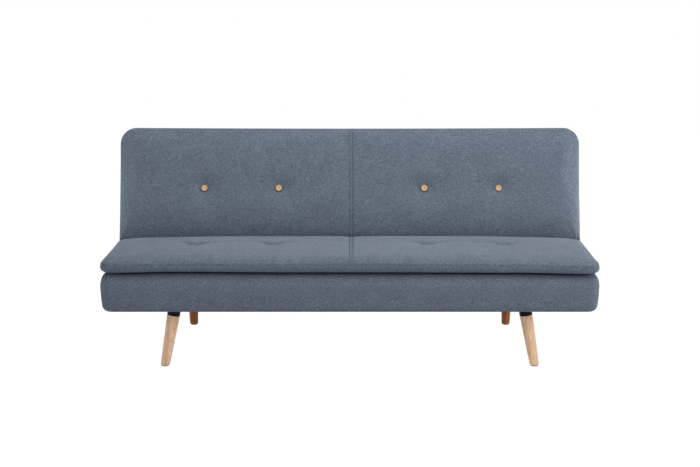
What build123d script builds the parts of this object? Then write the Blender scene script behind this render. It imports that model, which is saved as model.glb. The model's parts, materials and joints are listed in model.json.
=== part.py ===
# Click-clack sofa bed with a fixed tufted seat, a folding backrest and splayed oak legs.
# Sizes in mm. X runs along the width, the front faces -Y, Z is up from the floor.
from build123d import *
import math
import os

# Overall form
WIDTH = 1780
BASE_BOTTOM = 214
BASE_TOP = 355
SEAT_TOP = 413
BASE_DEPTH = 488
PAD_DEPTH = 495
SIDES = (-1, 1)

# Legs
LEG_X = 632
LEG_SPLAY = 10.2
FRONT_LEG_DEPTH = 104.5
REAR_FOOT_DEPTH = 821
LEG_TOP_RADIUS = 23.5
LEG_FOOT_RADIUS = 16.5
COLLAR_LENGTH = 27
LEG_FOOT_ROUNDING = 3
GLIDE_RADIUS = 13
GLIDE_HEIGHT = 3
STUD_RADIUS = 5
INSERT_RADIUS = 8
INSERT_LENGTH = 30
PLATE_HALF_WIDTH = 28
PLATE_HALF_LENGTH = 46
PLATE_THICKNESS = 3
PLATE_SCREW_OFFSET = 37
PLATE_SCREW_LENGTH = 12

# Steel base frame
RUNNER_WIDTH = 30
RUNNER_HEIGHT = 44
CROSS_TUBE = 30
TUBE_WALL = 2
RUNNER_FRONT = 54
RUNNER_PAST_LEG = 45
END_CAP = 3
END_CAP_PLUG = 4.5
SCREW_RADIUS = 3
SCREW_HEAD_RADIUS = 5.5
SCREW_HEAD = 4
ACCESS_RADIUS = 8
SEAT_BOLT_DEPTHS = (150, 380)
SEAT_BOLT_GRIP = 28
BUMPER_RADIUS = 14

# Seat timber
RAIL_THICKNESS = 25
RAIL_MARGIN = 24
END_RAIL_MARGIN = 28
RAIL_TOP = 313
BEARER_WIDTH = 40
RAIL_BOTTOM = 229

# Seat springs
SPRING_COUNT = 10
SPRING_SPACING = 165
SPRING_WIRE = 2
SPRING_HALF_LOOPS = 16
SPRING_REACH = 22
SPRING_TURN_SHARE = 0.46
CLIP_HALF_WIDTH = 8
CLIP_HALF_LENGTH = 6
CLIP_HEIGHT = 7
DUST_COVER = 1.2

# Upholstery
COVER = 4
EDGE_STEPS = 5
SMALLEST_CORNER = 6
BASE_CORNER = 45
BASE_ROLL = 24
BASE_BULGE = 5
BASE_WIDEST = 307
BASE_OPENING_MARGIN = 27
PAD_CORNER = 42
PAD_LOWER_ROLL = 18
PAD_UPPER_ROLL = 20
PAD_SEAM = 385
PAD_CROWN = ((6, 20), (2.5, 70), (0.6, 130), (0, 190))
PAD_PULL = 3
TUFT_X = (290, 574)
TUFT_DEPTH = 325
TUFT_DROP = 9
TUFT_BOTTOM_RADIUS = 7
TUFT_RADIUS = 42
SEAM_WIDTH = 4
SEAM_DROP = 1.5
CORD_RADIUS = 1

# Backrest, drawn lying flat about its pivot and then raised
LEAN = 13
RELEASE = 8
LOUNGE = 38
BACK_LINE = 515
BACK_LENGTH = 518
BACK_THICKNESS = 120
BACK_TAIL = 50
PIVOT_DROP = 60
BACK_CORNER = 64
BACK_REAR_ROLL = 16
BACK_FRONT_ROLL = 24
BACK_CROWN = ((8, 24), (3.5, 80), (1, 150), (0, 205))
BACK_PULL = 3
BACK_OPENING_MARGIN = 28
REAR_PANEL = 5
BACK_TIMBER = 47
BACK_TIMBER_MARGIN = 29
BACK_RAIL = 45
BACK_STILE = 40
WEBBING = 2
WEBBING_WIDTH = 50
WEBBING_X = (90, 280, 430, 566, 740)
WEBBING_Y = (130, 300)
BUTTON_X = (280, 566)
BUTTON_SHIFT = 6.5
BUTTON_HEIGHT = 592
BUTTON_RADIUS = 13.5
BUTTON_THICKNESS = 7
BUTTON_DISH = 1.5
BUTTON_DISH_RADIUS = 7
BUTTON_ROUNDING = 2
BUTTON_DROP = 9
BUTTON_SEAT_RADIUS = 14.5
BUTTON_DIMPLE_RADIUS = 38

# Click-clack hinges
ARM_THICKNESS = 6
ARM_GAP = 0.5
CHEEK = 3
CHEEK_HEAD_RADIUS = 30
CHEEK_FRONT = 32
CHEEK_REAR = 42
BRACKET_FOOT = 4
HUB_RADIUS = 26
NOTCH_DEPTH = 4
NOTCH_WIDTH = 9.2
ARM_LENGTH = 190
ARM_WIDTH = 28
ARM_DROP = 24
ARM_ROOT_HALF = 14
ARM_CRANK_TOP = 34
ARM_CRANK_BOTTOM = 44
ARM_CRANK_RUN = 20
PIN_RADIUS = 6
PIN_HEAD = 3
PIN_HEAD_RADIUS = 9
ARM_BOLT_PLACES = (75, 115, 155)
ARM_BOLT_RADIUS = 4
ARM_BOLT_HEAD = 4
ARM_BOLT_HEAD_RADIUS = 8
ARM_NUT = 6
ARM_NUT_RADIUS = 7.5
PAWL_PIN_Y = 30
PAWL_PIN_Z = -32
PAWL_PIN_RADIUS = 4
PAWL_EYE_RADIUS = 9
PAWL_BAR_TOP = -28
PAWL_BAR_BOTTOM = -38
PAWL_NOSE = -5
PAWL_TOOTH_HALF = 2.5
PAWL_TOOTH_CLEAR = 0.4
PAWL_LIFT = 9
PAWL_SPRING = 1
PAWL_SPRING_HALF_WIDTH = 2.5
SLOT_MARGIN = 4
SLOT_FRONT = 35
SLOT_PAST_BRACKET = 14

# Clearances
RUN_FIT = 0.05
LOOSE = 0.2
SOFT_GAP = 0.3

# Sizes that follow
LEG_SHIFT = BASE_BOTTOM * math.tan(math.radians(LEG_SPLAY))
REAR_LEG_DEPTH = REAR_FOOT_DEPTH - LEG_SHIFT
OVERALL_DEPTH = REAR_FOOT_DEPTH + LEG_FOOT_RADIUS
FRONT_Y = -OVERALL_DEPTH / 2
RUNNER_BOTTOM = BASE_BOTTOM + PLATE_THICKNESS
RUNNER_TOP = RUNNER_BOTTOM + RUNNER_HEIGHT
RUNNER_REAR = REAR_LEG_DEPTH + RUNNER_PAST_LEG
LEAN_COS = math.cos(math.radians(LEAN))
LEAN_SIN = math.sin(math.radians(LEAN))
PIVOT_Y = FRONT_Y + BACK_LINE + PIVOT_DROP * (1 - LEAN_SIN) / LEAN_COS
PIVOT_Z = SEAT_TOP - PIVOT_DROP
FOLD = 90 - LEAN
BACK_REAR = PIVOT_DROP - BACK_THICKNESS
BACK_TOP = BACK_LENGTH - BACK_TAIL
BACK_MIDDLE = BACK_LENGTH / 2 - BACK_TAIL
TIMBER_REAR = BACK_REAR + REAR_PANEL
TIMBER_FRONT = TIMBER_REAR + BACK_TIMBER
FOAM_REAR = TIMBER_FRONT + 2 * WEBBING
BUTTON_Y = (BUTTON_HEIGHT - PIVOT_Z - PIVOT_DROP * LEAN_SIN) / LEAN_COS
BUTTON_SEAT = PIVOT_DROP - BUTTON_DROP
CHEEK_INNER = ARM_THICKNESS / 2 + ARM_GAP
CHEEK_OUTER = CHEEK_INNER + CHEEK
SLOT_HALF = CHEEK_OUTER + SLOT_MARGIN
SLOT_TOP = CHEEK_REAR + SLOT_PAST_BRACKET
TIMBER_EDGE = WIDTH / 2 - BACK_TIMBER_MARGIN
TIMBER_BOTTOM = BACK_TIMBER_MARGIN - BACK_TAIL
TIMBER_TOP = BACK_TOP - BACK_TIMBER_MARGIN
STILE_FACE = LEG_X - ARM_THICKNESS / 2
RAIL_END = WIDTH / 2 - END_RAIL_MARGIN
RAIL_FRONT = FRONT_Y + RAIL_MARGIN
RAIL_REAR = FRONT_Y + BASE_DEPTH - RAIL_MARGIN
SPRING_FRONT = RAIL_FRONT + RAIL_THICKNESS / 2
SPRING_REAR = RAIL_REAR - RAIL_THICKNESS / 2
TUFT_Y = FRONT_Y + TUFT_DEPTH


def block(x, y, z):
    """Box between the two values given for each axis."""
    middle = Pos((x[0] + x[1]) / 2, (y[0] + y[1]) / 2, (z[0] + z[1]) / 2)
    return middle * Box(abs(x[1] - x[0]), y[1] - y[0], z[1] - z[0])


def rod(start, end, radius, x=0, y=0):
    """Upright cylinder between two heights."""
    return Pos(x, y, (start + end) / 2) * Cylinder(radius, end - start)


def cross_rod(start, end, radius, y=0, z=0):
    """Cylinder along X between two places."""
    return Pos((start + end) / 2, y, z) * Rot(0, 90, 0) * Cylinder(radius, abs(end - start))


def tube(x, y, z):
    """Box tube along the longer of X and Y, open at both ends."""
    along_x = abs(x[1] - x[0]) > y[1] - y[0]
    wall_x = 0 if along_x else TUBE_WALL
    wall_y = TUBE_WALL if along_x else 0
    low, high = min(x), max(x)
    bore_y = (y[0] + wall_y, y[1] - wall_y)
    bore_z = (z[0] + TUBE_WALL, z[1] - TUBE_WALL)
    return block(x, y, z) - block((low + wall_x, high - wall_x), bore_y, bore_z)


def outline(width, depth, corner, pull):
    """Rounded rectangle whose sides draw in by the pull between the corners."""
    x, y = width / 2, depth / 2
    straight_x, straight_y = x - corner, y - corner
    bend = corner * math.sqrt(0.5)
    edges = []
    for sx, sy in ((1, 1), (-1, 1), (-1, -1), (1, -1)):
        near = (sx * x, sy * straight_y)
        far = (sx * straight_x, sy * y)
        mid = (sx * (straight_x + bend), sy * (straight_y + bend))
        first, last = (near, far) if sx == sy else (far, near)
        edges.append(ThreePointArc(first, mid, last))
        side_mid = (0, sy * (y - pull)) if sx == sy else (sx * (x - pull), 0)
        side_end = (-last[0], last[1]) if sx == sy else (last[0], -last[1])
        edges.append(ThreePointArc(last, side_mid, side_end) if pull else Line(last, side_end))
    return make_face(edges)


def rolled(level, radius, step):
    """Inset and rise of a rolled edge, from its flat face (level) towards its side."""
    rings = []
    for i in range(EDGE_STEPS + 1):
        angle = math.radians(90 * i / EDGE_STEPS)
        rings.append((level + step * radius * (1 - math.cos(angle)), radius * (1 - math.sin(angle))))
    return rings


def stacked(width, depth, corner, pull, rings, shrink=0):
    """Closed form through rounded outlines; each ring is a height and an inset."""
    middle = (rings[0][0] + rings[-1][0]) / 2
    faces = []
    for height, inset in rings:
        margin = inset + shrink
        level = height + shrink if height < middle else height - shrink
        rounding = max(corner - margin, SMALLEST_CORNER)
        faces.append(Pos(0, 0, level) * outline(width - 2 * margin, depth - 2 * margin, rounding, pull))
    return loft(faces, ruled=True)


def cushion_rings(bottom, top, lower_roll, upper_roll, crown):
    """Rings of a cushion: rolled lower edge, rolled upper edge, then the crown."""
    lower = rolled(bottom, lower_roll, 1)
    upper = rolled(top - crown[0][0], upper_roll, -1)
    upper.reverse()
    return lower + upper + [(top - drop, inset) for drop, inset in crown[1:]]


def dimple(x, y, top, drop, bottom_radius, top_radius):
    """Round hollow with a flat floor, carried a little above the surface."""
    slope = (top_radius - bottom_radius) / drop
    rise = drop / 2
    cone = Cone(bottom_radius, top_radius + slope * rise, drop + rise)
    return Pos(x, y, top - drop + (drop + rise) / 2) * cone


def seam_channel(length, rings, y):
    """Shallow channel across the crown along Y, following the rings of the upper face."""
    rise = [(inset - length / 2, height) for height, inset in rings]
    crest = rise + [(-across, height) for across, height in reversed(rise)]
    upper = [(across, height + SEAM_DROP) for across, height in crest]
    lower = [(across, height - SEAM_DROP) for across, height in reversed(crest)]
    band = make_face(Polyline(*upper, *lower, close=True))
    return Pos(0, y, 0) * extrude(Plane.YZ * band, amount=SEAM_WIDTH / 2, both=True)


# Legs, collars and their fixings

def leg_place(end, side):
    """Top of a leg on the underside of the frame, turned along the leg."""
    if end == "front":
        return Pos(side * LEG_X, FRONT_Y + FRONT_LEG_DEPTH, BASE_BOTTOM) * Rot(0, -side * LEG_SPLAY, 0)
    return Pos(side * LEG_X, FRONT_Y + REAR_LEG_DEPTH, BASE_BOTTOM) * Rot(LEG_SPLAY, 0, 0)


def below(height):
    """Half space under a height, as a large block."""
    return block((-WIDTH, WIDTH), (-WIDTH, WIDTH), (-WIDTH, height))


def leg(end, side):
    """Tapered oak leg, cut level above its glide, with a hole for the threaded insert."""
    reach = BASE_BOTTOM / math.cos(math.radians(LEG_SPLAY)) + LEG_TOP_RADIUS
    taper = (LEG_TOP_RADIUS - LEG_FOOT_RADIUS) / (BASE_BOTTOM - COLLAR_LENGTH)
    length = reach - COLLAR_LENGTH
    foot = LEG_TOP_RADIUS - taper * length
    body = Pos(0, 0, -COLLAR_LENGTH - length / 2) * Cone(foot, LEG_TOP_RADIUS, length)
    hole = rod(-COLLAR_LENGTH - INSERT_LENGTH, -COLLAR_LENGTH, INSERT_RADIUS + RUN_FIT)
    body = leg_place(end, side) * (body - hole) - below(GLIDE_HEIGHT)
    return fillet(body.edges().group_by(Axis.Z)[0], LEG_FOOT_ROUNDING)


def collar(end, side):
    """Black collar, level on top and square to the leg below."""
    body = rod(-COLLAR_LENGTH, LEG_TOP_RADIUS, LEG_TOP_RADIUS)
    hole = rod(-COLLAR_LENGTH, LEG_TOP_RADIUS, STUD_RADIUS + LOOSE)
    return leg_place(end, side) * (body - hole) & below(BASE_BOTTOM)


def leg_plate(end, side):
    """Steel plate with a leaning stud that the leg screws onto."""
    place = leg_place(end, side)
    x, y = place.position.X, place.position.Y
    plate = block(
        (x - PLATE_HALF_WIDTH, x + PLATE_HALF_WIDTH),
        (y - PLATE_HALF_LENGTH, y + PLATE_HALF_LENGTH),
        (BASE_BOTTOM, RUNNER_BOTTOM),
    )
    for shift in (-PLATE_SCREW_OFFSET, PLATE_SCREW_OFFSET):
        plate -= rod(BASE_BOTTOM, RUNNER_BOTTOM, SCREW_RADIUS + LOOSE, x, y + shift)
    stud = rod(-COLLAR_LENGTH - INSERT_LENGTH, PLATE_THICKNESS / 2, STUD_RADIUS)
    return plate + place * stud


def leg_insert(end, side):
    """Threaded insert in the top of a leg."""
    sleeve = rod(-COLLAR_LENGTH - INSERT_LENGTH, -COLLAR_LENGTH, INSERT_RADIUS)
    bore = rod(-COLLAR_LENGTH - INSERT_LENGTH, -COLLAR_LENGTH, STUD_RADIUS + RUN_FIT)
    return leg_place(end, side) * (sleeve - bore)


def foot_place(end, side):
    """Where a leg's axis meets the floor."""
    place = leg_place(end, side)
    out = side * LEG_SHIFT if end == "front" else 0
    back = LEG_SHIFT if end == "rear" else 0
    return place.position.X + out, place.position.Y + back


def glide(end, side):
    """Felt glide under a foot."""
    x, y = foot_place(end, side)
    return rod(0, GLIDE_HEIGHT, GLIDE_RADIUS, x, y)


def plate_screws(end, side):
    """Two screws that hold a leg plate to its runner."""
    place = leg_place(end, side)
    screws = []
    for shift in (-PLATE_SCREW_OFFSET, PLATE_SCREW_OFFSET):
        x, y = place.position.X, place.position.Y + shift
        head = rod(BASE_BOTTOM - SCREW_HEAD, BASE_BOTTOM, SCREW_HEAD_RADIUS, x, y)
        screws.append(head + rod(BASE_BOTTOM, BASE_BOTTOM + PLATE_SCREW_LENGTH, SCREW_RADIUS, x, y))
    return screws


# Steel base frame

def runner(side):
    """Box tube from front to back that the legs, the seat and a hinge stand on."""
    x = side * LEG_X
    y = (FRONT_Y + RUNNER_FRONT, FRONT_Y + RUNNER_REAR)
    body = tube((x - RUNNER_WIDTH / 2, x + RUNNER_WIDTH / 2), y, (RUNNER_BOTTOM, RUNNER_TOP))
    for leg_depth in (FRONT_LEG_DEPTH, REAR_LEG_DEPTH):
        for shift in (-PLATE_SCREW_OFFSET, PLATE_SCREW_OFFSET):
            hole_y = FRONT_Y + leg_depth + shift
            body -= rod(RUNNER_BOTTOM, RUNNER_BOTTOM + TUBE_WALL, SCREW_RADIUS + LOOSE, x, hole_y)
    for depth in SEAT_BOLT_DEPTHS:
        body -= rod(RUNNER_BOTTOM, RUNNER_BOTTOM + TUBE_WALL, ACCESS_RADIUS, x, FRONT_Y + depth)
        body -= rod(RUNNER_TOP - TUBE_WALL, RUNNER_TOP, SCREW_RADIUS + LOOSE, x, FRONT_Y + depth)
    return body


def cross_tube(depth):
    """Box tube between the runners, centred at a depth."""
    end = LEG_X - RUNNER_WIDTH / 2
    y = (FRONT_Y + depth - CROSS_TUBE / 2, FRONT_Y + depth + CROSS_TUBE / 2)
    return tube((-end, end), y, (RUNNER_BOTTOM, RUNNER_BOTTOM + CROSS_TUBE))


def end_caps():
    """Plastic caps in the ends of the runners."""
    caps = []
    for side in SIDES:
        for depth, out in ((RUNNER_FRONT, -1), (RUNNER_REAR, 1)):
            x, y = side * LEG_X, FRONT_Y + depth
            inner = TUBE_WALL + LOOSE
            lid_y = sorted((y, y + out * END_CAP))
            plug_y = sorted((y, y - out * END_CAP_PLUG))
            half = RUNNER_WIDTH / 2
            lid = block((x - half, x + half), lid_y, (RUNNER_BOTTOM, RUNNER_TOP))
            plug_z = (RUNNER_BOTTOM + inner, RUNNER_TOP - inner)
            caps.append(lid + block((x - half + inner, x + half - inner), plug_y, plug_z))
    return caps


def bumpers():
    """Rubber stops on the runners under the flat backrest."""
    top = SEAT_TOP - BACK_THICKNESS - SOFT_GAP
    return [rod(RUNNER_TOP, top, BUMPER_RADIUS, side * LEG_X, FRONT_Y + REAR_LEG_DEPTH) for side in SIDES]


# Seat timber, springs and fixings

def seat_rail(x, y, bottom):
    """Timber rail up to the common top of the seat frame."""
    return block(x, y, (bottom, RAIL_TOP))


def seat_front_rail():
    return seat_rail((-RAIL_END, RAIL_END), (RAIL_FRONT, RAIL_FRONT + RAIL_THICKNESS), RAIL_BOTTOM)


def seat_rear_rail():
    return seat_rail((-RAIL_END, RAIL_END), (RAIL_REAR - RAIL_THICKNESS, RAIL_REAR), RUNNER_TOP)


def seat_span():
    """Clear length between the front and the rear rail."""
    return RAIL_FRONT + RAIL_THICKNESS, RAIL_REAR - RAIL_THICKNESS


def seat_end_rail(side):
    x = sorted((side * (RAIL_END - RAIL_THICKNESS), side * RAIL_END))
    return seat_rail(x, seat_span(), RAIL_BOTTOM)


def seat_bearer(side):
    """Timber over a runner, drilled for the bolts that come up through the tube."""
    x = side * LEG_X
    body = seat_rail((x - BEARER_WIDTH / 2, x + BEARER_WIDTH / 2), seat_span(), RUNNER_TOP)
    for depth in SEAT_BOLT_DEPTHS:
        body -= rod(RUNNER_TOP, RUNNER_TOP + SEAT_BOLT_GRIP, SCREW_RADIUS + LOOSE, x, FRONT_Y + depth)
    return body


def seat_middle_rail():
    half = BEARER_WIDTH / 2
    return seat_rail((-half, half), seat_span(), RUNNER_BOTTOM + CROSS_TUBE)


def seat_bolts():
    """Bolts with their heads inside the runners, up into the bearers."""
    under = RUNNER_TOP - TUBE_WALL
    bolts = []
    for side in SIDES:
        for depth in SEAT_BOLT_DEPTHS:
            x, y = side * LEG_X, FRONT_Y + depth
            head = rod(under - SCREW_HEAD, under, SCREW_HEAD_RADIUS, x, y)
            bolts.append(head + rod(under, RUNNER_TOP + SEAT_BOLT_GRIP, SCREW_RADIUS, x, y))
    return bolts


def spring_places():
    return [(i - (SPRING_COUNT - 1) / 2) * SPRING_SPACING for i in range(SPRING_COUNT)]


def seat_springs():
    """Sinuous springs from the front rail to the rear rail."""
    pitch = (SPRING_REAR - SPRING_FRONT) / SPRING_HALF_LOOPS
    corners = []
    for i in range(SPRING_HALF_LOOPS + 1):
        reach = SPRING_REACH if i % 2 else -SPRING_REACH
        y = SPRING_FRONT + i * pitch
        corners += [(reach, y, 0), (-reach, y, 0)]
    path = FilletPolyline(*corners, radius=pitch * SPRING_TURN_SHARE)
    section = Plane(origin=path @ 0, z_dir=path % 0) * Circle(SPRING_WIRE)
    spring = sweep(section, path=path)
    return [Pos(x, 0, RAIL_TOP + SPRING_WIRE) * spring for x in spring_places()]


def spring_clips():
    """Clips over the ends of the springs."""
    clips = []
    wire_z = RAIL_TOP + SPRING_WIRE
    for x in spring_places():
        for y in (SPRING_FRONT, SPRING_REAR):
            across = (x - CLIP_HALF_WIDTH, x + CLIP_HALF_WIDTH)
            along = (y - CLIP_HALF_LENGTH, y + CLIP_HALF_LENGTH)
            body = block(across, along, (RAIL_TOP, RAIL_TOP + CLIP_HEIGHT))
            groove = SPRING_WIRE + LOOSE
            body -= cross_rod(*across, groove, y, wire_z)
            body -= block(across, (y - groove, y + groove), (RAIL_TOP, wire_z))
            clips.append(body)
    return clips


# Seat upholstery

def base_rings():
    """Rings of the seat box: rolled edges and sides that bulge a little."""
    rings = rolled(BASE_BOTTOM, BASE_ROLL, 1)
    rings.append((BASE_WIDEST, 0))
    top = rolled(BASE_TOP, BASE_ROLL, -1)
    top.reverse()
    bulged = []
    for height, inset in rings + top:
        from_widest = (height - BASE_WIDEST) / (BASE_WIDEST - BASE_BOTTOM)
        bulged.append((height, inset + BASE_BULGE * from_widest ** 2))
    return bulged


def base_form(shrink=0):
    place = Pos(0, FRONT_Y + BASE_DEPTH / 2, 0)
    return place * stacked(WIDTH, BASE_DEPTH, BASE_CORNER, 0, base_rings(), shrink)


def seat_cover():
    """Cover of the seat box, open below, slotted behind for the runners."""
    margin = BASE_OPENING_MARGIN
    half = WIDTH / 2 - margin
    y = (FRONT_Y + margin, FRONT_Y + BASE_DEPTH - margin)
    body = base_form() - base_form(COVER)
    body -= block((-half, half), y, (BASE_BOTTOM - COVER, BASE_BOTTOM + BASE_ROLL))
    for side in SIDES:
        low = side * LEG_X - RUNNER_WIDTH / 2 - LOOSE
        high = side * LEG_X + RUNNER_WIDTH / 2 + LOOSE
        slot_y = (FRONT_Y + BASE_DEPTH / 2, FRONT_Y + BASE_DEPTH + COVER)
        body -= block((low, high), slot_y, (BASE_BOTTOM - COVER, RUNNER_TOP + LOOSE))
    return body


def seat_foam():
    """Foam over the springs, up to the cover."""
    bottom = RAIL_TOP + CLIP_HEIGHT
    slab = block((-WIDTH, WIDTH), (FRONT_Y, FRONT_Y + BASE_DEPTH), (bottom, BASE_TOP))
    return base_form(COVER + SOFT_GAP) & slab


def dust_cover():
    """Thin sheet under the seat, cut out round the front leg plates."""
    margin = BASE_OPENING_MARGIN + SOFT_GAP
    half = WIDTH / 2 - margin
    z = (RUNNER_BOTTOM - DUST_COVER, RUNNER_BOTTOM)
    body = block((-half, half), (FRONT_Y + margin, FRONT_Y + BASE_DEPTH - margin), z)
    for side in SIDES:
        x, y = side * LEG_X, FRONT_Y + FRONT_LEG_DEPTH
        across = PLATE_HALF_WIDTH + SOFT_GAP
        along = PLATE_HALF_LENGTH + SOFT_GAP
        body -= block((x - across, x + across), (y - along, y + along), z)
    return body


def pad_form(shrink=0):
    """Seat pad with its crown, tufts and middle seam, less a skin of the given depth."""
    place = Pos(0, FRONT_Y + PAD_DEPTH / 2, 0)
    rings = cushion_rings(BASE_TOP, SEAT_TOP, PAD_LOWER_ROLL, PAD_UPPER_ROLL, PAD_CROWN)
    body = place * stacked(WIDTH, PAD_DEPTH, PAD_CORNER, PAD_PULL, rings, shrink)
    bottom, rim = TUFT_BOTTOM_RADIUS + shrink, TUFT_RADIUS + shrink
    for side in SIDES:
        for x in TUFT_X:
            body -= dimple(side * x, TUFT_Y, SEAT_TOP - shrink, TUFT_DROP, bottom, rim)
    return body


def pad_shell():
    rings = [(SEAT_TOP - drop, inset) for drop, inset in PAD_CROWN]
    return pad_form() - pad_form(COVER) - seam_channel(PAD_DEPTH, rings, FRONT_Y + PAD_DEPTH / 2)


def pad_upper(shell):
    """Upper panel of the seat pad, down to the sewn rim."""
    return shell - below(PAD_SEAM)


def pad_lower(shell):
    """Lower panel of the seat pad, up to the sewn rim."""
    return shell & below(PAD_SEAM)


def pad_core():
    """Foam inside the seat pad, pierced by the tuft ties."""
    body = pad_form(COVER + SOFT_GAP)
    for x, y in tuft_places():
        body -= rod(BASE_TOP, SEAT_TOP, CORD_RADIUS + LOOSE, x, y)
    return body


def tuft_places():
    return [(side * x, TUFT_Y) for side in SIDES for x in TUFT_X]


def tuft_ties():
    """Cords that draw the tufts down onto the lower panel."""
    top = SEAT_TOP - TUFT_DROP - COVER
    return [rod(BASE_TOP + COVER, top, CORD_RADIUS, x, y) for x, y in tuft_places()]


# Backrest, drawn flat with the pivot at the origin

def raised(part):
    """Backrest piece turned from flat to its upright place."""
    return Pos(0, PIVOT_Y, PIVOT_Z) * Rot(FOLD, 0, 0) * part


def back_slots():
    """Room for the hinge brackets in the lower rear edge of the backrest."""
    slots = []
    for side in SIDES:
        x = side * LEG_X
        y = (-BACK_TAIL - COVER, SLOT_TOP)
        slots.append(block((x - SLOT_HALF, x + SLOT_HALF), y, (BACK_REAR - COVER, SLOT_FRONT)))
    return slots


def back_form(shrink=0):
    """Backrest slab with its crown and button hollows, less a skin of the given depth."""
    rings = cushion_rings(BACK_REAR, PIVOT_DROP, BACK_REAR_ROLL, BACK_FRONT_ROLL, BACK_CROWN)
    body = Pos(0, BACK_MIDDLE, 0) * stacked(WIDTH, BACK_LENGTH, BACK_CORNER, BACK_PULL, rings, shrink)
    seat, rim = BUTTON_SEAT_RADIUS + shrink, BUTTON_DIMPLE_RADIUS + shrink
    for x in button_places():
        body -= dimple(x, BUTTON_Y, PIVOT_DROP - shrink, BUTTON_DROP, seat, rim)
    return body


def back_opening(margin, front):
    """Block over the open rear of the backrest, up to a given front."""
    half = WIDTH / 2 - margin
    return block((-half, half), (margin - BACK_TAIL, BACK_TOP - margin), (BACK_REAR, front))


def button_places():
    return [side * x + BUTTON_SHIFT for side in SIDES for x in BUTTON_X]


def cord_holes(start, end):
    return [rod(start, end, CORD_RADIUS + LOOSE, x, BUTTON_Y) for x in button_places()]


def back_cover():
    """Cover of the backrest, open behind, with a seam down the middle."""
    rings = [(PIVOT_DROP - drop, inset) for drop, inset in BACK_CROWN]
    body = back_form() - back_form(COVER) - back_opening(BACK_OPENING_MARGIN, TIMBER_REAR)
    body -= seam_channel(BACK_LENGTH, rings, BACK_MIDDLE)
    for cut in back_slots() + cord_holes(FOAM_REAR, PIVOT_DROP):
        body -= cut
    return body


def back_foam():
    """Foam in front of the webbing."""
    slab = block((-WIDTH, WIDTH), (-WIDTH, WIDTH), (FOAM_REAR, PIVOT_DROP))
    body = back_form(COVER + SOFT_GAP) & slab
    for cut in back_slots() + cord_holes(FOAM_REAR, PIVOT_DROP):
        body -= cut
    return body


def back_rear_panel():
    """Panel that closes the rear of the backrest."""
    body = back_opening(BACK_OPENING_MARGIN + SOFT_GAP, TIMBER_REAR)
    for cut in back_slots():
        body -= cut
    return body


def back_timber(x, y):
    return block(sorted(x), y, (TIMBER_REAR, TIMBER_FRONT))


def back_top_rail():
    return back_timber((-TIMBER_EDGE, TIMBER_EDGE), (TIMBER_TOP - BACK_RAIL, TIMBER_TOP))


def back_bottom_rail():
    end = STILE_FACE - BACK_STILE
    return back_timber((-end, end), (TIMBER_BOTTOM, TIMBER_BOTTOM + BACK_RAIL))


def back_outer_rail(side):
    x = (side * (LEG_X + SLOT_HALF), side * (TIMBER_EDGE - BACK_STILE))
    return back_timber(x, (TIMBER_BOTTOM, TIMBER_BOTTOM + BACK_RAIL))


def back_end_stile(side):
    x = (side * (TIMBER_EDGE - BACK_STILE), side * TIMBER_EDGE)
    return back_timber(x, (TIMBER_BOTTOM, TIMBER_TOP - BACK_RAIL))


def back_hinge_stile(side):
    """Upright that a hinge arm is bolted to, cut back beside the bracket."""
    x = (side * (STILE_FACE - BACK_STILE), side * STILE_FACE)
    body = back_timber(x, (TIMBER_BOTTOM, TIMBER_TOP - BACK_RAIL)) - back_slots()[SIDES.index(side)]
    for y in ARM_BOLT_PLACES:
        body -= cross_rod(*x, ARM_BOLT_RADIUS + LOOSE, y, -ARM_DROP)
    return body


def back_middle_stile():
    half = BACK_STILE / 2
    return back_timber((-half, half), (TIMBER_BOTTOM + BACK_RAIL, TIMBER_TOP - BACK_RAIL))


def back_webbing():
    """Upright straps on the timber with two long straps over them."""
    half = WEBBING_WIDTH / 2
    straps = []
    upright_y = (TIMBER_BOTTOM + BACK_RAIL / 2, TIMBER_TOP - BACK_RAIL / 2)
    for side in SIDES:
        for x in WEBBING_X:
            across = (side * x - half, side * x + half)
            straps.append(block(across, upright_y, (TIMBER_FRONT, TIMBER_FRONT + WEBBING)))
    end = TIMBER_EDGE - BACK_STILE / 2
    for y in WEBBING_Y:
        straps.append(block((-end, end), (y - half, y + half), (TIMBER_FRONT + WEBBING, FOAM_REAR)))
    return straps


def button(x):
    """Turned wooden button with a shallow dish."""
    body = rod(BUTTON_SEAT, BUTTON_SEAT + BUTTON_THICKNESS, BUTTON_RADIUS, x, BUTTON_Y)
    body = fillet(body.edges().group_by(Axis.Z)[-1], BUTTON_ROUNDING)
    ball = (BUTTON_DISH_RADIUS ** 2 + BUTTON_DISH ** 2) / (2 * BUTTON_DISH)
    rise = BUTTON_SEAT + BUTTON_THICKNESS - BUTTON_DISH + ball
    return body - Pos(x, BUTTON_Y, rise) * Sphere(ball)


def button_cords():
    """Cords from the buttons through the foam to the webbing."""
    return [rod(TIMBER_FRONT + WEBBING, BUTTON_SEAT, CORD_RADIUS, x, BUTTON_Y) for x in button_places()]


# Click-clack hinges

def hub_notch(recline):
    """Notch that stands over the pawl's tooth at a given recline."""
    middle = Pos(0, 0, -HUB_RADIUS) * Box(ARM_THICKNESS, NOTCH_WIDTH, 2 * NOTCH_DEPTH)
    return Rot(recline - FOLD, 0, 0) * middle


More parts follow.
